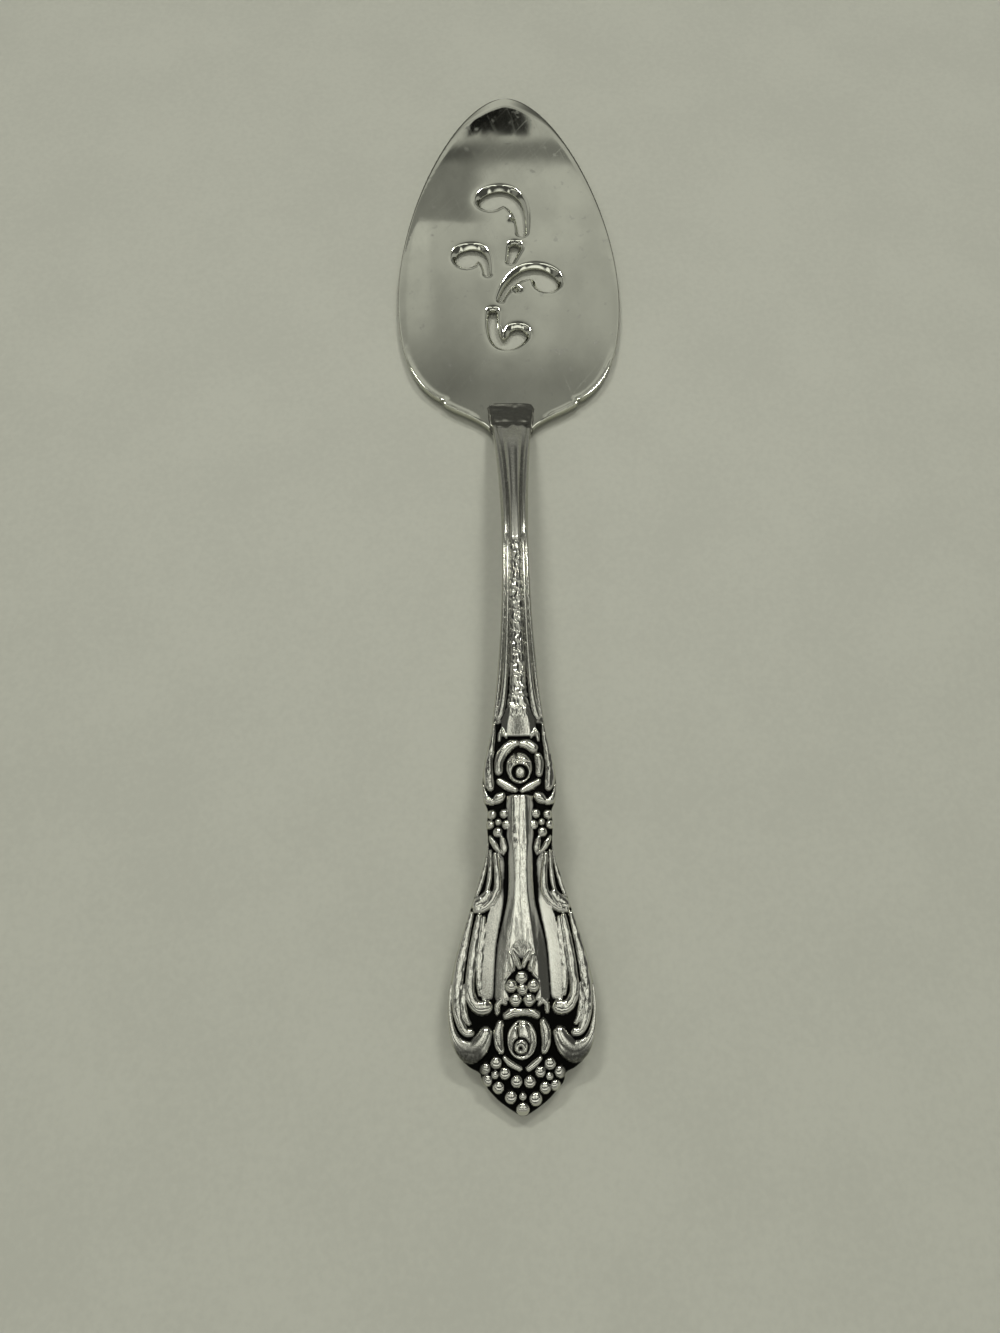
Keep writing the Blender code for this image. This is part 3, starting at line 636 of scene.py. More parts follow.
def scalloped_half_width(along):
    """Half width with the berries that reach over the edge."""
    half = half_width(along)
    for across, place, radius in BUTT_BERRIES + SHOULDER_BERRIES:
        reach = np.sqrt(np.clip(radius**2 - (along - place) ** 2, 0, None))
        half = np.maximum(half, np.where(reach > 0, abs(across) + reach, 0))
    return half


print(f"butt {2 * scalloped_half_width(np.array(1.0)):.1f} mm wide at 1 mm")

# %% Rings round the handle
SQUARENESS = 4.0
EDGE_CROWD = 0.15
EDGE_FADE = 0.012
CLEAN_EDGE = 0.03
BUTT_ROUND = 1.2


def handle_rings(along, top_cells, back_cells):
    """Closed rings of points, and the darkness and heat at each point."""
    s = np.linspace(-1, 1, top_cells + 1)
    top_share = s * (1 + EDGE_CROWD - EDGE_CROWD * s**2)
    back_share = np.cos(np.linspace(0, math.pi, back_cells + 1))[1:-1]
    share = np.concatenate([top_share, back_share])
    on_top = np.arange(len(share)) <= top_cells
    along = along[:, None]
    across = share * scalloped_half_width(along)
    along = along + 0 * across
    section = np.clip(1 - np.abs(share) ** SQUARENESS, 0, 1) ** (1 / SQUARENESS)
    depth = bar_thickness(along) / 2
    round_off = np.sqrt(1 - (1 - np.clip(along / BUTT_ROUND, 0, 1)) ** 2)
    lift = board_value(relief, across, along) * np.clip((1 - np.abs(share)) / EDGE_FADE, 0, 1)
    half_height = round_off * np.where(on_top, depth * section + lift, -depth * section)
    points = np.stack([across, BUTT + along, back_height(along) + depth + half_height], axis=-1)
    dark = on_top * board_value(patina_and_shade, across, along) * ease((1 - np.abs(share)) / CLEAN_EDGE)
    hot = on_top * board_value(heat, across, along)
    return points.reshape(-1, 3), dark.ravel(), hot.ravel()


FIRST_RING = 0.04
GRIP_SPACING = 0.19
FINE_SPACING = 0.2
NECK_SPACING = 0.5
NECK_START = ROPE_END + 1
NECK_END = 139.0
TOP_CELLS = 180
BACK_CELLS = 24
COARSER = 3

grip_along = np.arange(FIRST_RING, GRIP_LENGTH, GRIP_SPACING)
shank_along = np.concatenate([
    np.arange(GRIP_LENGTH + FINE_SPACING, NECK_START, FINE_SPACING),
    np.arange(NECK_START, NECK_END, NECK_SPACING),
    np.arange(NECK_END, HANDLE_LENGTH, FINE_SPACING),
    [HANDLE_LENGTH],
])
grip_points, grip_dark, grip_hot = handle_rings(grip_along, TOP_CELLS, BACK_CELLS)
shank_points, shank_dark, shank_hot = handle_rings(shank_along, TOP_CELLS // COARSER, BACK_CELLS // COARSER)
print(f"{len(grip_along)} rings on the grip, {len(shank_along)} on the shank")

# %% [markdown]
# Rings that follow each other are joined by four-sided faces. At the step from fine to coarse, each
# coarse face takes three fine edges. One flat face closes each end.

# %% Faces between the rings
def ring_faces(rows, cells, first):
    """Four-sided faces between rings that follow each other."""
    start = first + np.arange(rows - 1)[:, None] * cells
    here = np.arange(cells)
    there = (here + 1) % cells
    above = start + cells
    return np.stack([start + here, start + there, above + there, above + here], axis=-1).reshape(-1, 4)


fine = TOP_CELLS + BACK_CELLS
coarse = fine // COARSER
last_fine = fine * (len(grip_along) - 1)
first_coarse = fine * len(grip_along)
step_faces = []
for j in range(coarse):
    edge = [last_fine + (COARSER * j + k) % fine for k in range(COARSER + 1)]
    step_faces.append([*edge, first_coarse + (j + 1) % coarse, first_coarse + j])
last_ring = first_coarse + coarse * (len(shank_along) - 1)
end_faces = [list(reversed(range(fine))), list(range(last_ring, last_ring + coarse))]
handle_faces = [
    *ring_faces(len(grip_along), fine, 0).tolist(),
    *step_faces,
    *ring_faces(len(shank_along), coarse, first_coarse).tolist(),
    *end_faces,
]
print(f"{len(handle_faces)} faces")

# %% [markdown]
# The piece takes the place of the handle's solid. Patina with painted shade, and heat, are kept on its
# points as named values, which its material reads later, so the dark places can't slip off the relief.

# %% The handle as a piece
def make_piece(name, points, faces, smooth=True):
    """An object from points in millimetres."""
    mesh = bpy.data.meshes.new(name)
    mesh.from_pydata((np.asarray(points) * MM).tolist(), [], faces)
    mesh.validate()
    if smooth:
        mesh.shade_smooth()
    else:
        mesh.shade_flat()
    piece = bpy.data.objects.new(name, mesh)
    bpy.context.scene.collection.objects.link(piece)
    return piece


def paint(piece, name, values):
    """Keeps a value for each point of a piece, for its material to read."""
    layer = piece.data.attributes.new(name, "FLOAT", "POINT")
    layer.data.foreach_set("value", np.asarray(values, np.float32))


handle = make_piece("struck_handle", np.vstack([grip_points, shank_points]), handle_faces)
paint(handle, "patina_and_shade", np.concatenate([grip_dark, shank_dark]))
paint(handle, "torched", np.concatenate([grip_hot, shank_hot]))
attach(handle, "root")
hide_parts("handle")
print(f"handle of {len(handle.data.vertices)} points")

# %% [markdown]
# ## The blade's outline
# The blade is a spade cut from sheet: a tongue under the foot, a swept heel with a small nick on each
# shoulder, full flanks and a rounded tip. Four Bezier curves give one side, and the other is its mirror
# image.

# %% Outline of the blade
HEEL = blade_low[1]
TIP = blade_high[1]
TONGUE_HALF = 3.9
TONGUE_CORNER = 1.2
SHOULDER = np.array((16.6, HEEL + 11.9))
NICK = SHOULDER + (-1.4, -0.6)
HEEL_END = SHOULDER + (-1.0, -1.2)
WIDEST = np.array((blade_high[0], HEEL + 43.0))


def bezier(start, leaving, arriving, end, steps):
    """Points of a Bezier curve, its end left out."""
    t = np.linspace(0, 1, steps, endpoint=False)[:, None]
    corners = [np.asarray(corner, float) for corner in (start, leaving, arriving, end)]
    weights = ((1 - t) ** 3, 3 * t * (1 - t) ** 2, 3 * t * t * (1 - t), t**3)
    return sum(weight * corner for weight, corner in zip(weights, corners))


def away(start, length, degrees):
    """The point at a length and an angle from another."""
    angle = math.radians(degrees)
    return np.asarray(start) + length * np.array((math.cos(angle), math.sin(angle)))


def blade_outline():
    """The blade's edge, round from the right of the tongue over the tip to the left of it."""
    tongue_end = (TONGUE_HALF - TONGUE_CORNER, HEEL)
    tongue_side = (TONGUE_HALF, HEEL + TONGUE_CORNER)
    corner = (TONGUE_HALF, HEEL)
    tip = np.array((0, TIP))
    right = np.vstack([
        bezier(tongue_end, corner, corner, tongue_side, 4),
        bezier(tongue_side, away(tongue_side, 5.5, 76), away(HEEL_END, -5.2, 40), HEEL_END, 20),
        [HEEL_END, NICK],
        bezier(SHOULDER, away(SHOULDER, 7.2, 34), away(WIDEST, -18, 90), WIDEST, 30),
        bezier(WIDEST, away(WIDEST, 30, 90), away(tip, 11.5, 0), tip, 80),
    ])
    return np.vstack([right, [tip], right[::-1] * (-1, 1)])


edge_line = blade_outline()
print(f"edge of {len(edge_line)} points, {2 * edge_line[:, 0].max():.1f} mm wide")

# %% [markdown]
# ## The piercing
# Five commas are cut through the blade. Each is a row of circles whose centres follow a Bezier curve
# while their radius changes, like a drop of ink drawn out by a pen. That gives two things at once: the
# comma's own outline, and lines further out, for the slope that the punch has pressed round the cut. The
# slope is wide round a comma's head and narrow round its tail. Small nubs are slips of the cutter.

# %% Commas
PIERCING_CENTRE = HEEL + 53.0
COMMAS = [
    [(-4.3, 20.0, 3.1), (0.0, 24.0, 3.2), (4.0, 18.5, 1.6), (3.4, 9.1, 1.15)],
    [(-10.3, 1.4, 3.1), (-7.2, 4.2, 2.2), (-5.4, 1.0, 1.0), (-5.2, -3.9, 0.85)],
    [(1.7, 4.5, 1.6), (1.3, 3.1, 1.35), (0.9, 1.5, 1.15), (0.5, 0.0, 0.9)],
    [(9.4, -6.2, 3.2), (7.6, -1.4, 1.9), (1.0, -2.6, 1.6), (-2.0, -12.0, 0.8)],
    [(2.0, -22.4, 2.5), (-0.8, -27.0, 1.9), (-4.6, -25.4, 1.4), (-3.9, -16.0, 1.25)],
]
NUBS = [(1.5, 13.6, 0.65), (1.6, -8.6, 0.7)]
COMMA_STEPS = 40
WIDEST_SLOPE = 1.1
SLOPE_BASE = 0.1
SLOPE_PER_RADIUS = 0.33
NUB_SLOPE = 0.2
INSET_SHARE = 0.41


def comma_circles(corners):
    """Centres and radii of the circles along a comma, and the width of the pressed slope round each."""
    circles = np.vstack([bezier(*corners, COMMA_STEPS), [corners[-1]]])
    slope_width = np.minimum(WIDEST_SLOPE, SLOPE_BASE + SLOPE_PER_RADIUS * circles[:, 2])
    return circles[:, :2] + (0, PIERCING_CENTRE), circles[:, 2] - INSET_SHARE * slope_width, slope_width


hole_circles = [comma_circles(corners) for corners in COMMAS]
for x, y, radius in NUBS:
    hole_circles.append((np.array([(x, PIERCING_CENTRE + y)]), np.array([radius]), np.array([NUB_SLOPE])))
print(f"{len(COMMAS)} commas and {len(NUBS)} nubs")

# %% [markdown]
# The outline of a row of circles is the line that touches them all. Each circle touches it left and
# right, at an angle that depends on how fast the radius changes, and the first and last circle close it
# with a round cap. Points that another circle has swallowed are dropped.

# %% Lines and distances round the cuts
CAP_STEPS = 12
SWALLOWED = 0.985


def comma_outline(corners, share, beyond=0.0):
    """The line round a comma at a share of its slope's width, or beyond it."""
    centres, radii, slope_width = comma_circles(corners)
    radii = radii + share * slope_width + beyond
    last = len(radii) - 1
    circle = np.arange(last + 1)
    before = np.maximum(circle - 1, 0)
    after = np.minimum(circle + 1, last)
    way = centres[after] - centres[before]
    heading = np.arctan2(way[:, 1], way[:, 0])
    lean = np.arccos((radii[before] - radii[after]) / np.hypot(*way.T))
    cap = np.arange(1, CAP_STEPS) / CAP_STEPS
    round_tail = lean[last] * (1 - 2 * cap)
    round_head = -lean[0] - 2 * (math.pi - lean[0]) * cap
    turns = np.concatenate([lean, round_tail, -lean[::-1], round_head])
    order = np.concatenate([circle, np.full(len(cap), last), circle[::-1], np.zeros(len(cap), int)])
    angle = heading[order] + turns
    points = centres[order] + radii[order, None] * np.stack([np.cos(angle), np.sin(angle)], axis=1)
    inside = np.linalg.norm(points[:, None] - centres, axis=2) < SWALLOWED * radii
    return points[~inside.any(axis=1)]


def hole_distance(points, with_slope=0.0):
    """Distance of points from the nearest cut, or from the slope round it, below 0 inside it."""
    nearest = np.full(len(points), np.inf)
    for centres, radii, slope_width in hole_circles:
        for centre, radius in zip(centres, radii + with_slope * slope_width):
            nearest = np.minimum(nearest, np.hypot(*(points - centre).T) - radius)
    return nearest


print(f"first comma cut along {len(comma_outline(COMMAS[0], 0.0))} points")

# %% [markdown]
# ## A plate with pressed and ground edges
# A flat plate with holes could come from a Boolean cut and a bevel, but the bevel breaks down at the
# nicks. Here the plate is one sheet of triangles, and the height of each point follows from how far it is
# from the nearest edge: the punch has pressed a slope round each cut, the rim is ground thin, and the
# heel has a turned-up bead.

# %% Heights of the blade's two faces
CUT_SLOPE = 1.07
CUT_BLEND = 0.22
EDGE_ROLL = 0.15
RIM_SLOPE = 0.08
RIM_BLEND = 0.35
RIM_START = 34.0
FLANK_RIM = 0.9
TIP_RIM = 2.0
TIP_RIM_START = 113.0
BEAD_HEIGHT = 0.2
BEAD_WIDTH = 0.7
BEAD_START = 6.0
BEAD_END = 44.0


def distance_to_edge(points):
    """Distance of points from the blade's edge."""
    nearest = np.full(len(points), np.inf)
    for start, end in zip(edge_line, np.roll(edge_line, -1, axis=0)):
        way = end - start
        t = np.clip((points - start) @ way / max(way @ way, 1e-9), 0, 1)
        nearest = np.minimum(nearest, np.hypot(*(points - start - t[:, None] * way).T))
    return nearest


def rolled(distance):
    """How far the rounded edge drops at a distance from the edge."""
    inward = np.clip(EDGE_ROLL - distance, 0, EDGE_ROLL)
    return EDGE_ROLL - np.sqrt(EDGE_ROLL**2 - inward**2)


def slope_past(past, softness):
    """0 before an even slope begins and the way past it after that, with a soft shoulder."""
    return 0.5 * (past + np.sqrt(past**2 + softness**2))


def rim_width(y):
    """Width of the ground rim: wide at the tip, narrow down the flanks and gone at the heel."""
    return FLANK_RIM * ease((y - RIM_START) / 14) + TIP_RIM * ease((y - TIP_RIM_START) / 9)


def face_heights(points):
    """Heights of the upper and the lower face."""
    edge = distance_to_edge(points)
    x, y = np.abs(points[:, 0]), points[:, 1]
    rim = RIM_SLOPE * slope_past(rim_width(y) - edge, RIM_BLEND) * ease((y - RIM_START) / 10)
    bead = BEAD_HEIGHT * np.exp(-((edge / BEAD_WIDTH) ** 2))
    bead = bead * ease((BEAD_END - y) / 9) * ease((x - BEAD_START) / 4)
    pressed = CUT_SLOPE * slope_past(-hole_distance(points, 1.0), CUT_BLEND)
    upper = PLATE - rim + bead - rolled(edge) - pressed
    lower = rolled(edge) + rolled(hole_distance(points))
    return upper, lower


print(f"rim {rim_width(np.array(80.0)):.1f} mm on the flanks, {rim_width(np.array(TIP)):.1f} mm at the tip")

# %% [markdown]
# A mirror shows every uneven triangle, so the points lie where the surface bends: on lines along the edge
# and round each cut, close together over the slopes. A honeycomb of points fills the flat rest.

# %% Points of the blade
GRID = 0.55
EDGE_CLEAR = 0.75
CUT_CLEAR = 1.1
EDGE_LINES = (0.0, 0.04, 0.15, 0.5)
SLOPE_LINES = (0.0, 0.05, 0.32, 0.64, 0.86)
SHOULDER_LINES = (0.0, 0.15, 0.4, 0.8)
NUB_POINTS = 10


def inset(line, distance):
    """A closed anticlockwise line moved inward."""
    way = np.roll(line, -1, axis=0) - np.roll(line, 1, axis=0)
    way /= np.linalg.norm(way, axis=1)[:, None]
    return line + distance * np.stack([-way[:, 1], way[:, 0]], axis=1)


def inside_edge(points):
    """True for points within the blade's outline."""
    odd = np.zeros(len(points), bool)
    for (ax, ay), (bx, by) in zip(edge_line, np.roll(edge_line, -1, axis=0)):
        crosses = (points[:, 1] < ay) != (points[:, 1] < by)
        odd ^= crosses & (points[:, 0] < ax + (points[:, 1] - ay) / ((by - ay) or 1) * (bx - ax))
    return odd


def even_grid():
    """Points in a honeycomb over the blade, clear of its edges."""
    rows = np.arange(HEEL, TIP, GRID * math.sqrt(0.75))
    columns = np.arange(-WIDEST[0], WIDEST[0], GRID)
    points = np.array([(x + GRID / 2 * (i % 2), y) for i, y in enumerate(rows) for x in columns])
    points = points[inside_edge(points)]
    clear = (distance_to_edge(points) > EDGE_CLEAR) & (hole_distance(points, 1.0) > CUT_CLEAR)
    return points[clear]


sheet_lines = [inset(edge_line, distance) for distance in EDGE_LINES]
for corners in COMMAS:
    sheet_lines += [comma_outline(corners, share) for share in SLOPE_LINES]
    sheet_lines += [comma_outline(corners, 1.0, beyond) for beyond in SHOULDER_LINES]
for x, y, radius in NUBS:
    angle = np.linspace(0, 2 * math.pi, NUB_POINTS, endpoint=False)
    circle = np.stack([x + radius * np.cos(angle), PIERCING_CENTRE + y + radius * np.sin(angle)], axis=1)
    sheet_lines.append(circle)
print(f"{len(sheet_lines)} lines on the sheet")

# %% [markdown]
# Blender's own Delaunay tool joins points and lines into triangles. Those outside the blade or inside a
# cut are dropped. A second, lower copy of the sheet is the underside, and a strip along every open side
# closes the plate.

# %% The blade as a piece
flat_points, flat_edges = [], []
for line in sheet_lines:
    first = len(flat_points)
    flat_points += [Vector(point) for point in line]
    flat_edges += [(first + i, first + (i + 1) % len(line)) for i in range(len(line))]
flat_points += [Vector(point) for point in even_grid()]
laid = delaunay_2d_cdt(flat_points, flat_edges, [], 0, 1e-4)

sheet = np.array([tuple(point) for point in laid[0]])
triangles = np.array(laid[2])
middles = sheet[triangles].mean(axis=1)
triangles = triangles[inside_edge(middles) & (hole_distance(middles) > 0)]
used, triangles = np.unique(triangles, return_inverse=True)
sheet, triangles = sheet[used], triangles.reshape(-1, 3)
upper, lower = face_heights(sheet)
sides = np.vstack([triangles[:, (0, 1)], triangles[:, (1, 2)], triangles[:, (2, 0)]])
taken = {(a, b) for a, b in sides.tolist()}
rims = [(a, b) for a, b in sides.tolist() if (b, a) not in taken]
below = len(sheet)
blade_faces = triangles.tolist() + (triangles[:, ::-1] + below).tolist()
blade_faces += [(b, a, a + below, b + below) for a, b in rims]
blade_points = np.vstack([np.column_stack([sheet, upper]), np.column_stack([sheet, lower])])
blade = make_piece("pierced_blade", blade_points, blade_faces)
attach(blade, "root")
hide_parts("blade")
print(f"blade of {len(blade_faces)} faces, {len(rims)} edges along rims and cuts")

# %% [markdown]
# ## The filler metal
# Brazing leaves a thin film between foot and blade, and a small uneven fillet squeezed out round the
# foot. It could be a plain slab. A few rings that follow the foot's outline, each a little further in and
# up, give it the hollow slope of metal that has run, and two sine waves make its width wander.

# %% Fillet round the foot
FILLET_RINGS = [(0.26, 0.0), (0.22, 0.08), (0.13, 0.22), (0.05, 0.4), (-0.1, 0.3)]
FILLET_BACK = SEAT_START - 1.0
FILLET_LIFT = 0.01
FRONT_INSET = 0.3
FRONT_POINTS = 14


def foot_outline():
    """The foot's plan from its back right corner round the front to its back left corner."""
    straight = np.linspace(FILLET_BACK, HANDLE_LENGTH - FOOT_CORNER, 16)
    corner = HANDLE_LENGTH - FOOT_CORNER * (1 - np.sin(np.linspace(0.15, 1.5, 8)))
    along = np.concatenate([straight, corner])
    right = np.stack([half_width(along), BUTT + along], axis=1)
    front = np.linspace(right[-1, 0] - FRONT_INSET, -right[-1, 0] + FRONT_INSET, FRONT_POINTS)
    front = np.stack([front, np.full(FRONT_POINTS, BUTT + HANDLE_LENGTH)], axis=1)
    return np.vstack([right, front, right[::-1] * (-1, 1)])


foot_line = foot_outline()
step = np.arange(len(foot_line))
wander = 1 + 0.3 * np.sin(0.9 * step) + 0.2 * np.sin(2.3 * step + 1)
fillet_points = []
for outward, up in FILLET_RINGS:
    line = inset(foot_line, -outward * wander[:, None])
    fillet_points.append(np.column_stack([line, np.full(len(line), PLATE + FILLET_LIFT + up)]))
count = len(foot_line)
top_ring = count * (len(FILLET_RINGS) - 1)
fillet_faces = ring_faces(len(FILLET_RINGS), count, 0).tolist()
fillet_faces += [list(reversed(range(count))), list(range(top_ring, top_ring + count))]
fillet = make_piece("braze_fillet", np.vstack(fillet_points), fillet_faces)
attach(fillet, "root")
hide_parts("heel_braze")
print(f"fillet of {len(fillet_faces)} faces")

# %% [markdown]
# ## Finishes
# All three finishes are bare metal, so each is the same shader with other patterns. Nodes could be placed
# by hand in the editor. A short helper that adds a node and joins its inputs keeps a material down to the
# few lines that say what is special about it.

# %% Node tools
def add(tree, kind, *inputs, **settings):
    """Adds a shader node and returns its first output. Inputs are (socket, value or other output)."""
    made = tree.nodes.new("ShaderNode" + kind)
    for name, value in settings.items():
        setattr(made, name, value)
    for socket, value in inputs:
        if isinstance(value, bpy.types.NodeSocket):
            tree.links.new(value, made.inputs[socket])
        else:
            made.inputs[socket].default_value = value
    return made.outputs[0]


def maths(tree, operation, first, second):
    """One operation on two values."""
    return add(tree, "Math", (0, first), (1, second), operation=operation)


def spread(tree, value, low, high, to_low=0.0, to_high=1.0):
    """Eases a value's range from low to high into another range."""
    ranges = (("From Min", low), ("From Max", high), ("To Min", to_low), ("To Max", to_high))
    return add(tree, "MapRange", ("Value", value), *ranges, interpolation_type="SMOOTHSTEP")


def blend(tree, share, first, second):
    """A colour between two others."""
    mix = add(tree, "Mix", ("Factor", share), data_type="RGBA").node
    for socket, value in ((6, first), (7, second)):
        if isinstance(value, bpy.types.NodeSocket):
            tree.links.new(value, mix.inputs[socket])
        else:
            mix.inputs[socket].default_value = (*value, 1)
    return mix.outputs[2]


def grain(tree, size, turn=0.0, detail=2.0):
    """Noise whose cells have that size in millimetres, across, along and up."""
    spot = tree.nodes.new("ShaderNodeTexCoord").outputs["Object"]
    scale = tuple(1 / (MM * side) for side in size)
    turn_by = (0, 0, math.radians(turn))
    turned = add(tree, "Mapping", ("Vector", spot), ("Rotation", turn_by), vector_type="TEXTURE")
    placed = add(tree, "Mapping", ("Vector", turned), ("Scale", scale))
    return add(tree, "TexNoise", ("Vector", placed), ("Scale", 1.0), ("Detail", detail))


print("node tools ready")

# %% Tools for a finish
def new_finish(name, piece, metallic=1.0):
    """A new material on a piece: its node tree and its shader."""
    material = bpy.data.materials.new(name)
    material.use_nodes = True
    piece.data.materials.append(material)
    shader = material.node_tree.nodes["Principled BSDF"]
    shader.inputs["Metallic"].default_value = metallic
    return material.node_tree, shader


def dress(tree, shader, colour, roughness, height, strength, depth):
    """Joins a metal's colour, roughness and bump to its shader."""
    bump = add(tree, "Bump", ("Height", height), ("Strength", strength), ("Distance", depth * MM))
    for socket, value in (("Base Color", colour), ("Roughness", roughness), ("Normal", bump)):
        tree.links.new(value, shader.inputs[socket])


def dimmed(colour, share):
    """A share of a colour's brightness."""
    return tuple(share * part for part in colour)


print("finish tools ready")

# %% [markdown]
# ## Struck steel for the handle
# The ridges are bright and the recesses are dull and nearly black, where oxide and polishing paste have
# stayed. The same dark colour is painted shade on the lower rim, the shank and some flanks. The value
# painted on the mesh says where, and noise frays its edge. Fine polishing lines run along the handle.
# The foot's pad is browner and duller from the torch.

# %% Struck steel
STEEL = (0.65, 0.65, 0.58)
# nearly black: oxide in the recesses, and painted shade on the lower rim, the shank and some flanks
OXIDE_AND_SHADE = (0.004, 0.004, 0.0035)
TORCHED = (0.15, 0.15, 0.13)


def struck_steel(piece):
    """Bright ridges, dark recesses, painted shade on the lower rim, shank and flanks, and a torched pad."""
    tree, shader = new_finish("struck_steel", piece)
    dark = add(tree, "Attribute", attribute_name="patina_and_shade").node.outputs["Fac"]
    torched = add(tree, "Attribute", attribute_name="torched").node.outputs["Fac"]
    fray = spread(tree, grain(tree, (0.5, 0.7, 0.5)), 0.25, 0.6, 0.9, 1.1)
    # the dark share is oxide in the recesses and painted shade on the rim, shank and flanks
    oxide_and_shade = spread(tree, maths(tree, "MULTIPLY", dark, fray), 0.1, 0.85)
    smudge = grain(tree, (5.0, 9.0, 5.0))
    bright = blend(tree, spread(tree, smudge, 0.3, 0.7), STEEL, dimmed(STEEL, 0.92))
    colour = blend(tree, oxide_and_shade, blend(tree, torched, bright, TORCHED), OXIDE_AND_SHADE)
    polish = spread(tree, smudge, 0.3, 0.7, 0.07, 0.13)
    torched_polish = maths(tree, "ADD", polish, maths(tree, "MULTIPLY", torched, 0.2))
    roughness = maths(tree, "ADD", torched_polish, maths(tree, "MULTIPLY", oxide_and_shade, 0.25))
    lines_along = grain(tree, (0.05, 3.0, 0.3), detail=3.0)
    wear = maths(tree, "ADD", lines_along, grain(tree, (0.16, 0.3, 0.2), detail=1.0))
    dress(tree, shader, colour, roughness, wear, 0.25, 0.03)
    return tree


print(f"struck steel of {len(struck_steel(handle).nodes)} nodes")

# %% [markdown]
# ## Polished steel for the blade
# The blade is nearly a mirror, but a used one: hair scratches cross it in two directions, and finger
# marks and dried water leave it a little duller in patches. Scratches are noise stretched very long and
# cut off high, so that only thin streaks remain.

# %% Polished steel
BLADE_STEEL = (0.665, 0.675, 0.58)
SPOT = (0.40, 0.40, 0.37)


def polished_steel(piece):
    """A mirror with smudges, spots and hair scratches."""
    tree, shader = new_finish("polished_steel", piece)
    smudge = grain(tree, (10.0, 15.0, 10.0), detail=5.0)
    spots = spread(tree, grain(tree, (2.2, 2.6, 2.0), detail=3.0), 0.62, 0.74)
    one_way, other_way = grain(tree, (0.07, 16.0, 1.0), 18), grain(tree, (0.07, 22.0, 1.0), -37)
    hairs = spread(tree, maths(tree, "MAXIMUM", one_way, other_way), 0.66, 0.74)
    cloudy = blend(tree, spread(tree, smudge, 0.35, 0.7), BLADE_STEEL, dimmed(BLADE_STEEL, 0.84))
    colour = blend(tree, maths(tree, "MULTIPLY", spots, 0.35), cloudy, SPOT)
    polish = spread(tree, smudge, 0.3, 0.75, 0.02, 0.05)
    scratched = maths(tree, "ADD", polish, maths(tree, "MULTIPLY", hairs, 0.1))
    roughness = maths(tree, "ADD", scratched, maths(tree, "MULTIPLY", spots, 0.08))
    waves = grain(tree, (9.0, 13.0, 9.0), detail=0.0)
    height = maths(tree, "ADD", waves, maths(tree, "MULTIPLY", hairs, 0.015))
    dress(tree, shader, colour, roughness, height, 0.25, 0.05)
    return tree


print(f"polished steel of {len(polished_steel(blade).nodes)} nodes")

# %% [markdown]
# ## Filler metal
# The fillet was never polished. It is duller and yellower than the steel, with small lumps where it ran.
# One noise gives colour, roughness and lumps together, since on the real one they have the same cause.

# %% Filler metal
FILLER = (0.16, 0.155, 0.135)


def filler_metal(piece):
    """Dull lumpy metal."""
    tree, shader = new_finish("filler_metal", piece)
    lumps = grain(tree, (0.5, 0.5, 0.4), detail=3.0)
    colour = blend(tree, lumps, FILLER, dimmed(FILLER, 0.55))
    dress(tree, shader, colour, spread(tree, lumps, 0.3, 0.7, 0.28, 0.5), lumps, 0.5, 0.1)
    return tree


print(f"filler metal of {len(filler_metal(fillet).nodes)} nodes")

# %% [markdown]
# ## The camera
# The server was seen from just above the handle's butt, by a wide lens that looks steeply down. The
# nearness matters more than the angle: it makes the grip look larger than the blade. The three turns are
# tilt, yaw and roll, and the camera's own axes follow from them.

# %% Camera
CAMERA = np.array((-5.64, -116.55, 191.9))
TILT, YAW, ROLL = (math.radians(angle) for angle in (68.0, -1.847, 1.320))
SENSOR = 36.0
LENS = SENSOR * 1000 / 1333

forward = Vector((-math.sin(YAW) * math.cos(TILT), math.cos(YAW) * math.cos(TILT), -math.sin(TILT)))
level = Vector((math.cos(YAW), math.sin(YAW), 0))
upright = level.cross(forward)
sideways = level * math.cos(ROLL) + upright * math.sin(ROLL)
upward = upright * math.cos(ROLL) - level * math.sin(ROLL)
lens = bpy.data.cameras.new("camera")
lens.lens = LENS
lens.sensor_width = SENSOR
lens.clip_start = 0.01
camera = bpy.data.objects.new("camera", lens)
turned = Matrix((sideways, upward, -forward)).transposed().to_4x4()
camera.matrix_world = Matrix.Translation(CAMERA * MM) @ turned
bpy.context.scene.collection.objects.link(camera)
bpy.context.scene.camera = camera
print(f"camera {CAMERA[2]:.0f} mm up, {LENS:.0f} mm lens")

# %% [markdown]
# ## The room that the steel mirrors
# Polished metal shows little of its own colour. It shows the room. Lamps could stand round the table as
# objects, but it is easier to paint the room on the world, by direction: a point of the ceiling is (x /
# z, y / z), and a soft rectangle is a product of steps. This room has pale walls under a dark ceiling.
# The blade mirrors the front wall, the neck mirrors a dim wall above it, and the cuts mirror lights at
# the back.

# %% Tools for the room
world = bpy.data.worlds.new("studio")
world.use_nodes = True
bpy.context.scene.world = world
room = world.node_tree
direction = room.nodes.new("ShaderNodeTexCoord").outputs["Generated"]
parts = add(room, "SeparateXYZ", ("Vector", direction)).node.outputs
height = maths(room, "MAXIMUM", parts["Z"], 0.02)
ceiling_x = maths(room, "DIVIDE", parts["X"], height)
ceiling_y = maths(room, "DIVIDE", parts["Y"], height)


def soft_rectangle(x_range, y_range, x_soft, y_soft, shift=0.0):
    """1 inside a rectangle of the ceiling, easing to 0 over its soft edges."""
    inside = 1.0
    for position, (low, high), soft in ((ceiling_x, x_range, x_soft), (ceiling_y, y_range, y_soft)):
        shifted = maths(room, "ADD", position, shift)
        inside = maths(room, "MULTIPLY", inside, spread(room, shifted, low - soft, low + soft))
        inside = maths(room, "MULTIPLY", inside, spread(room, shifted, high - soft, high + soft, 1.0, 0.0))
    return inside


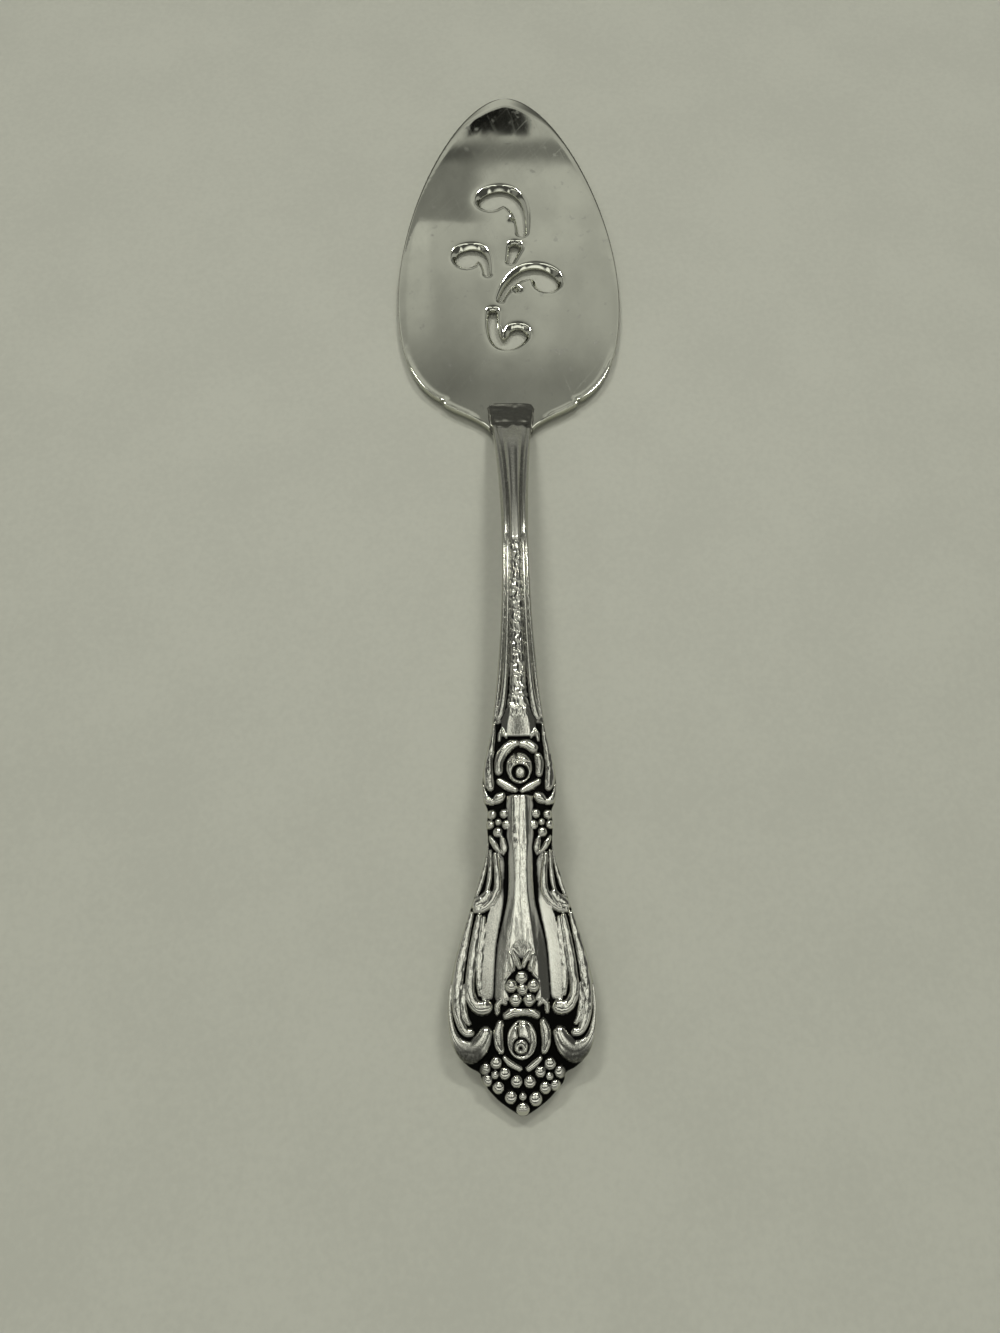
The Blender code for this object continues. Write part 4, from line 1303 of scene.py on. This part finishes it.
def lay_over(under, over, share):
    """One brightness over another."""
    return maths(room, "ADD", under, maths(room, "MULTIPLY", share, maths(room, "SUBTRACT", over, under)))


print(f"room of {len(room.nodes)} nodes so far")

# %% [markdown]
# Each area is (brightness, range across, range along, softness across, softness along). Two compact lamps
# in front do most of the lighting and give the server its shadow. Pale areas of the ceiling are there for
# the flutes, and thin strips for the long highlights on the ridges. The two corners are for views from
# the sides.

# %% Walls, ceiling and lamps
WALL = 0.4
ROOF = 0.08
ROOF_EDGE = (0.26, 0.4)
AREAS = {
    "front left corner": (0.4, (-4.0, -1.0), (1.0, 4.0), 0.2, 0.2),
    "back right corner": (0.4, (1.2, 6.0), (-6.0, -1.2), 0.3, 0.3),
    "front wall": (0.5, (-0.7, 0.7), (0.7, 1.35), 0.1, 0.03),
    "dim wall for the neck": (0.1, (-1.5, 1.5), (1.35, 6.0), 0.1, 0.1),
    "pale strip for the neck": (0.55, (-0.16, 0.16), (1.35, 6.0), 0.08, 0.1),
    "back light": (1.25, (-1.0, 1.0), (-1.5, -0.98), 0.15, 0.08),
    "back light on the right": (1.25, (0.85, 1.7), (-1.0, -0.7), 0.1, 0.06),
    "back light on the left": (1.25, (-1.7, -0.85), (-1.0, -0.7), 0.1, 0.06),
    "ceiling overhead": (0.2, (-0.36, 0.36), (-0.6, 0.3), 0.05, 0.1),
    "ceiling on the left": (0.25, (-2.0, -0.8), (-0.5, 0.1), 0.1, 0.1),
    "ceiling for the panel": (0.45, (-0.3, 0.3), (-0.38, -0.04), 0.05, 0.05),
    "ceiling for the left flute": (1.0, (0.4, 0.68), (-0.42, -0.08), 0.05, 0.06),
    "ceiling for the right flute": (1.15, (-0.62, -0.31), (-0.42, -0.08), 0.04, 0.06),
    "outer strip on the left": (1.8, (-1.08, -0.98), (-0.55, 0.3), 0.03, 0.1),
    "strip on the right": (2.2, (0.17, 0.28), (-0.55, 0.58), 0.02, 0.05),
    "strip on the left": (2.2, (-0.25, -0.14), (-0.55, 0.58), 0.02, 0.05),
    "lamp on the right": (90.0, (0.2, 0.42), (0.61, 0.67), 0.03, 0.02),
    "lamp on the left": (90.0, (-0.42, -0.2), (0.61, 0.67), 0.03, 0.02),
}

light = lay_over(WALL, ROOF, spread(room, parts["Z"], *ROOF_EDGE))
for brightness, *area in AREAS.values():
    light = lay_over(light, brightness, soft_rectangle(*area))
print(f"{len(AREAS)} areas on walls and ceiling")

# %% [markdown]
# ## What lies in front of the blade
# The flat blade is a mirror for the wall in front of it. Darker and paler patches on that wall appear on
# the steel, and a wall with nothing on it would leave the blade looking like paper. Each patch is placed
# by where it should appear on the blade, in millimetres: the camera's height and distance give the
# direction that is mirrored there. Noise makes the patches' edges ragged. A patch is (shade, range
# across, range along, softness across, softness along, raggedness).

# %% Patches on the front wall
PATCHES = {
    "dark spot at the tip": (0.02, (-10.8, 6.2), (110.6, 124.0), 0.8, 0.7, 4.0),
    "band under the tip": (0.42, (-20.0, 20.0), (100.5, 108.5), 4.0, 2.5, 2.0),
    "dark block on the left": (0.48, (-60.0, -7.0), (80.5, 106.0), 4.0, 0.7, 1.0),
    "pale upper right": (1.10, (-6.0, 60.0), (70.0, 99.0), 4.0, 6.0, 2.0),
    "pale strip on the left": (1.20, (-25.5, -19.0), (44.0, 80.0), 1.5, 3.0, 2.0),
    "dimmer lower half": (0.84, (-60.0, 60.0), (30.0, 66.0), 5.0, 12.0, 4.0),
    "pale lower right": (1.20, (2.0, 22.0), (44.0, 64.0), 9.0, 8.0, 4.0),
    "dark lower left": (0.78, (-60.0, -6.0), (10.0, 49.0), 12.0, 8.0, 4.0),
    "dark heel": (0.55, (-60.0, 60.0), (14.0, 37.0), 1.0, 8.0, 4.0),
}
FRAY_SIZE = 2.0
ROOM_TINT = (1.0, 1.0, 0.93, 1)
camera_height = CAMERA[2] - PLATE


def mirrored_at(low, high, axis):
    """The range of the ceiling that the camera sees in a range of the blade."""
    return ((low - CAMERA[axis]) / camera_height, (high - CAMERA[axis]) / camera_height)


ceiling_point = add(room, "CombineXYZ", ("X", ceiling_x), ("Y", ceiling_y))
fray_inputs = (("Vector", ceiling_point), ("Scale", camera_height / FRAY_SIZE), ("Detail", 4.0))
fray = maths(room, "SUBTRACT", add(room, "TexNoise", *fray_inputs), 0.5)
for shade, x_range, y_range, x_soft, y_soft, ragged in PATCHES.values():
    mirrored_ranges = mirrored_at(*x_range, 0), mirrored_at(*y_range, 1)
    shift = maths(room, "MULTIPLY", fray, ragged / camera_height)
    patch = soft_rectangle(*mirrored_ranges, x_soft / camera_height, y_soft / camera_height, shift)
    light = maths(room, "MULTIPLY", light, lay_over(1.0, shade, patch))
room.links.new(light, room.nodes["Background"].inputs["Strength"])
room.nodes["Background"].inputs["Color"].default_value = ROOM_TINT
print(f"{len(PATCHES)} patches, {len(room.nodes)} nodes in the room")

# %% [markdown]
# ## The table
# A plain pale table, a little mottled so that it doesn't look like paper. It is wide enough to reach the
# horizon in the low views. It lies a little under the server, as a server that rests on a few points
# leaves a thin gap, so that the cuts show a shaded table.

# %% Table
TABLE = (0.51, 0.515, 0.444)
TABLE_ROUGHNESS = 0.55
TABLE_REACH = 4000.0
TABLE_GAP = 0.8


def table_top(piece):
    """A pale mottled surface."""
    tree, shader = new_finish("table_top", piece, metallic=0.0)
    shader.inputs["Roughness"].default_value = TABLE_ROUGHNESS
    fine_mottle = grain(tree, (1.2, 1.2, 1.2), detail=4.0)
    wide_mottle = grain(tree, (26.0, 26.0, 26.0), detail=3.0)
    mottle = spread(tree, maths(tree, "ADD", fine_mottle, wide_mottle), 0.7, 1.3)
    tree.links.new(blend(tree, mottle, TABLE, dimmed(TABLE, 0.93)), shader.inputs["Base Color"])
    return tree


around = ((-1, -1), (1, -1), (1, 1), (-1, 1))
table_corners = [(x * TABLE_REACH, y * TABLE_REACH, -TABLE_GAP) for x, y in around]
table = make_piece("table", table_corners, [(0, 1, 2, 3)], smooth=False)
print(f"table of {len(table_top(table).nodes)} nodes, {TABLE_GAP} mm under the server")

# %% [markdown]
# ## The view
# Colours are shown as they are written, so the view is set to Standard.

# %% Colour view
bpy.context.scene.view_settings.view_transform = "Standard"
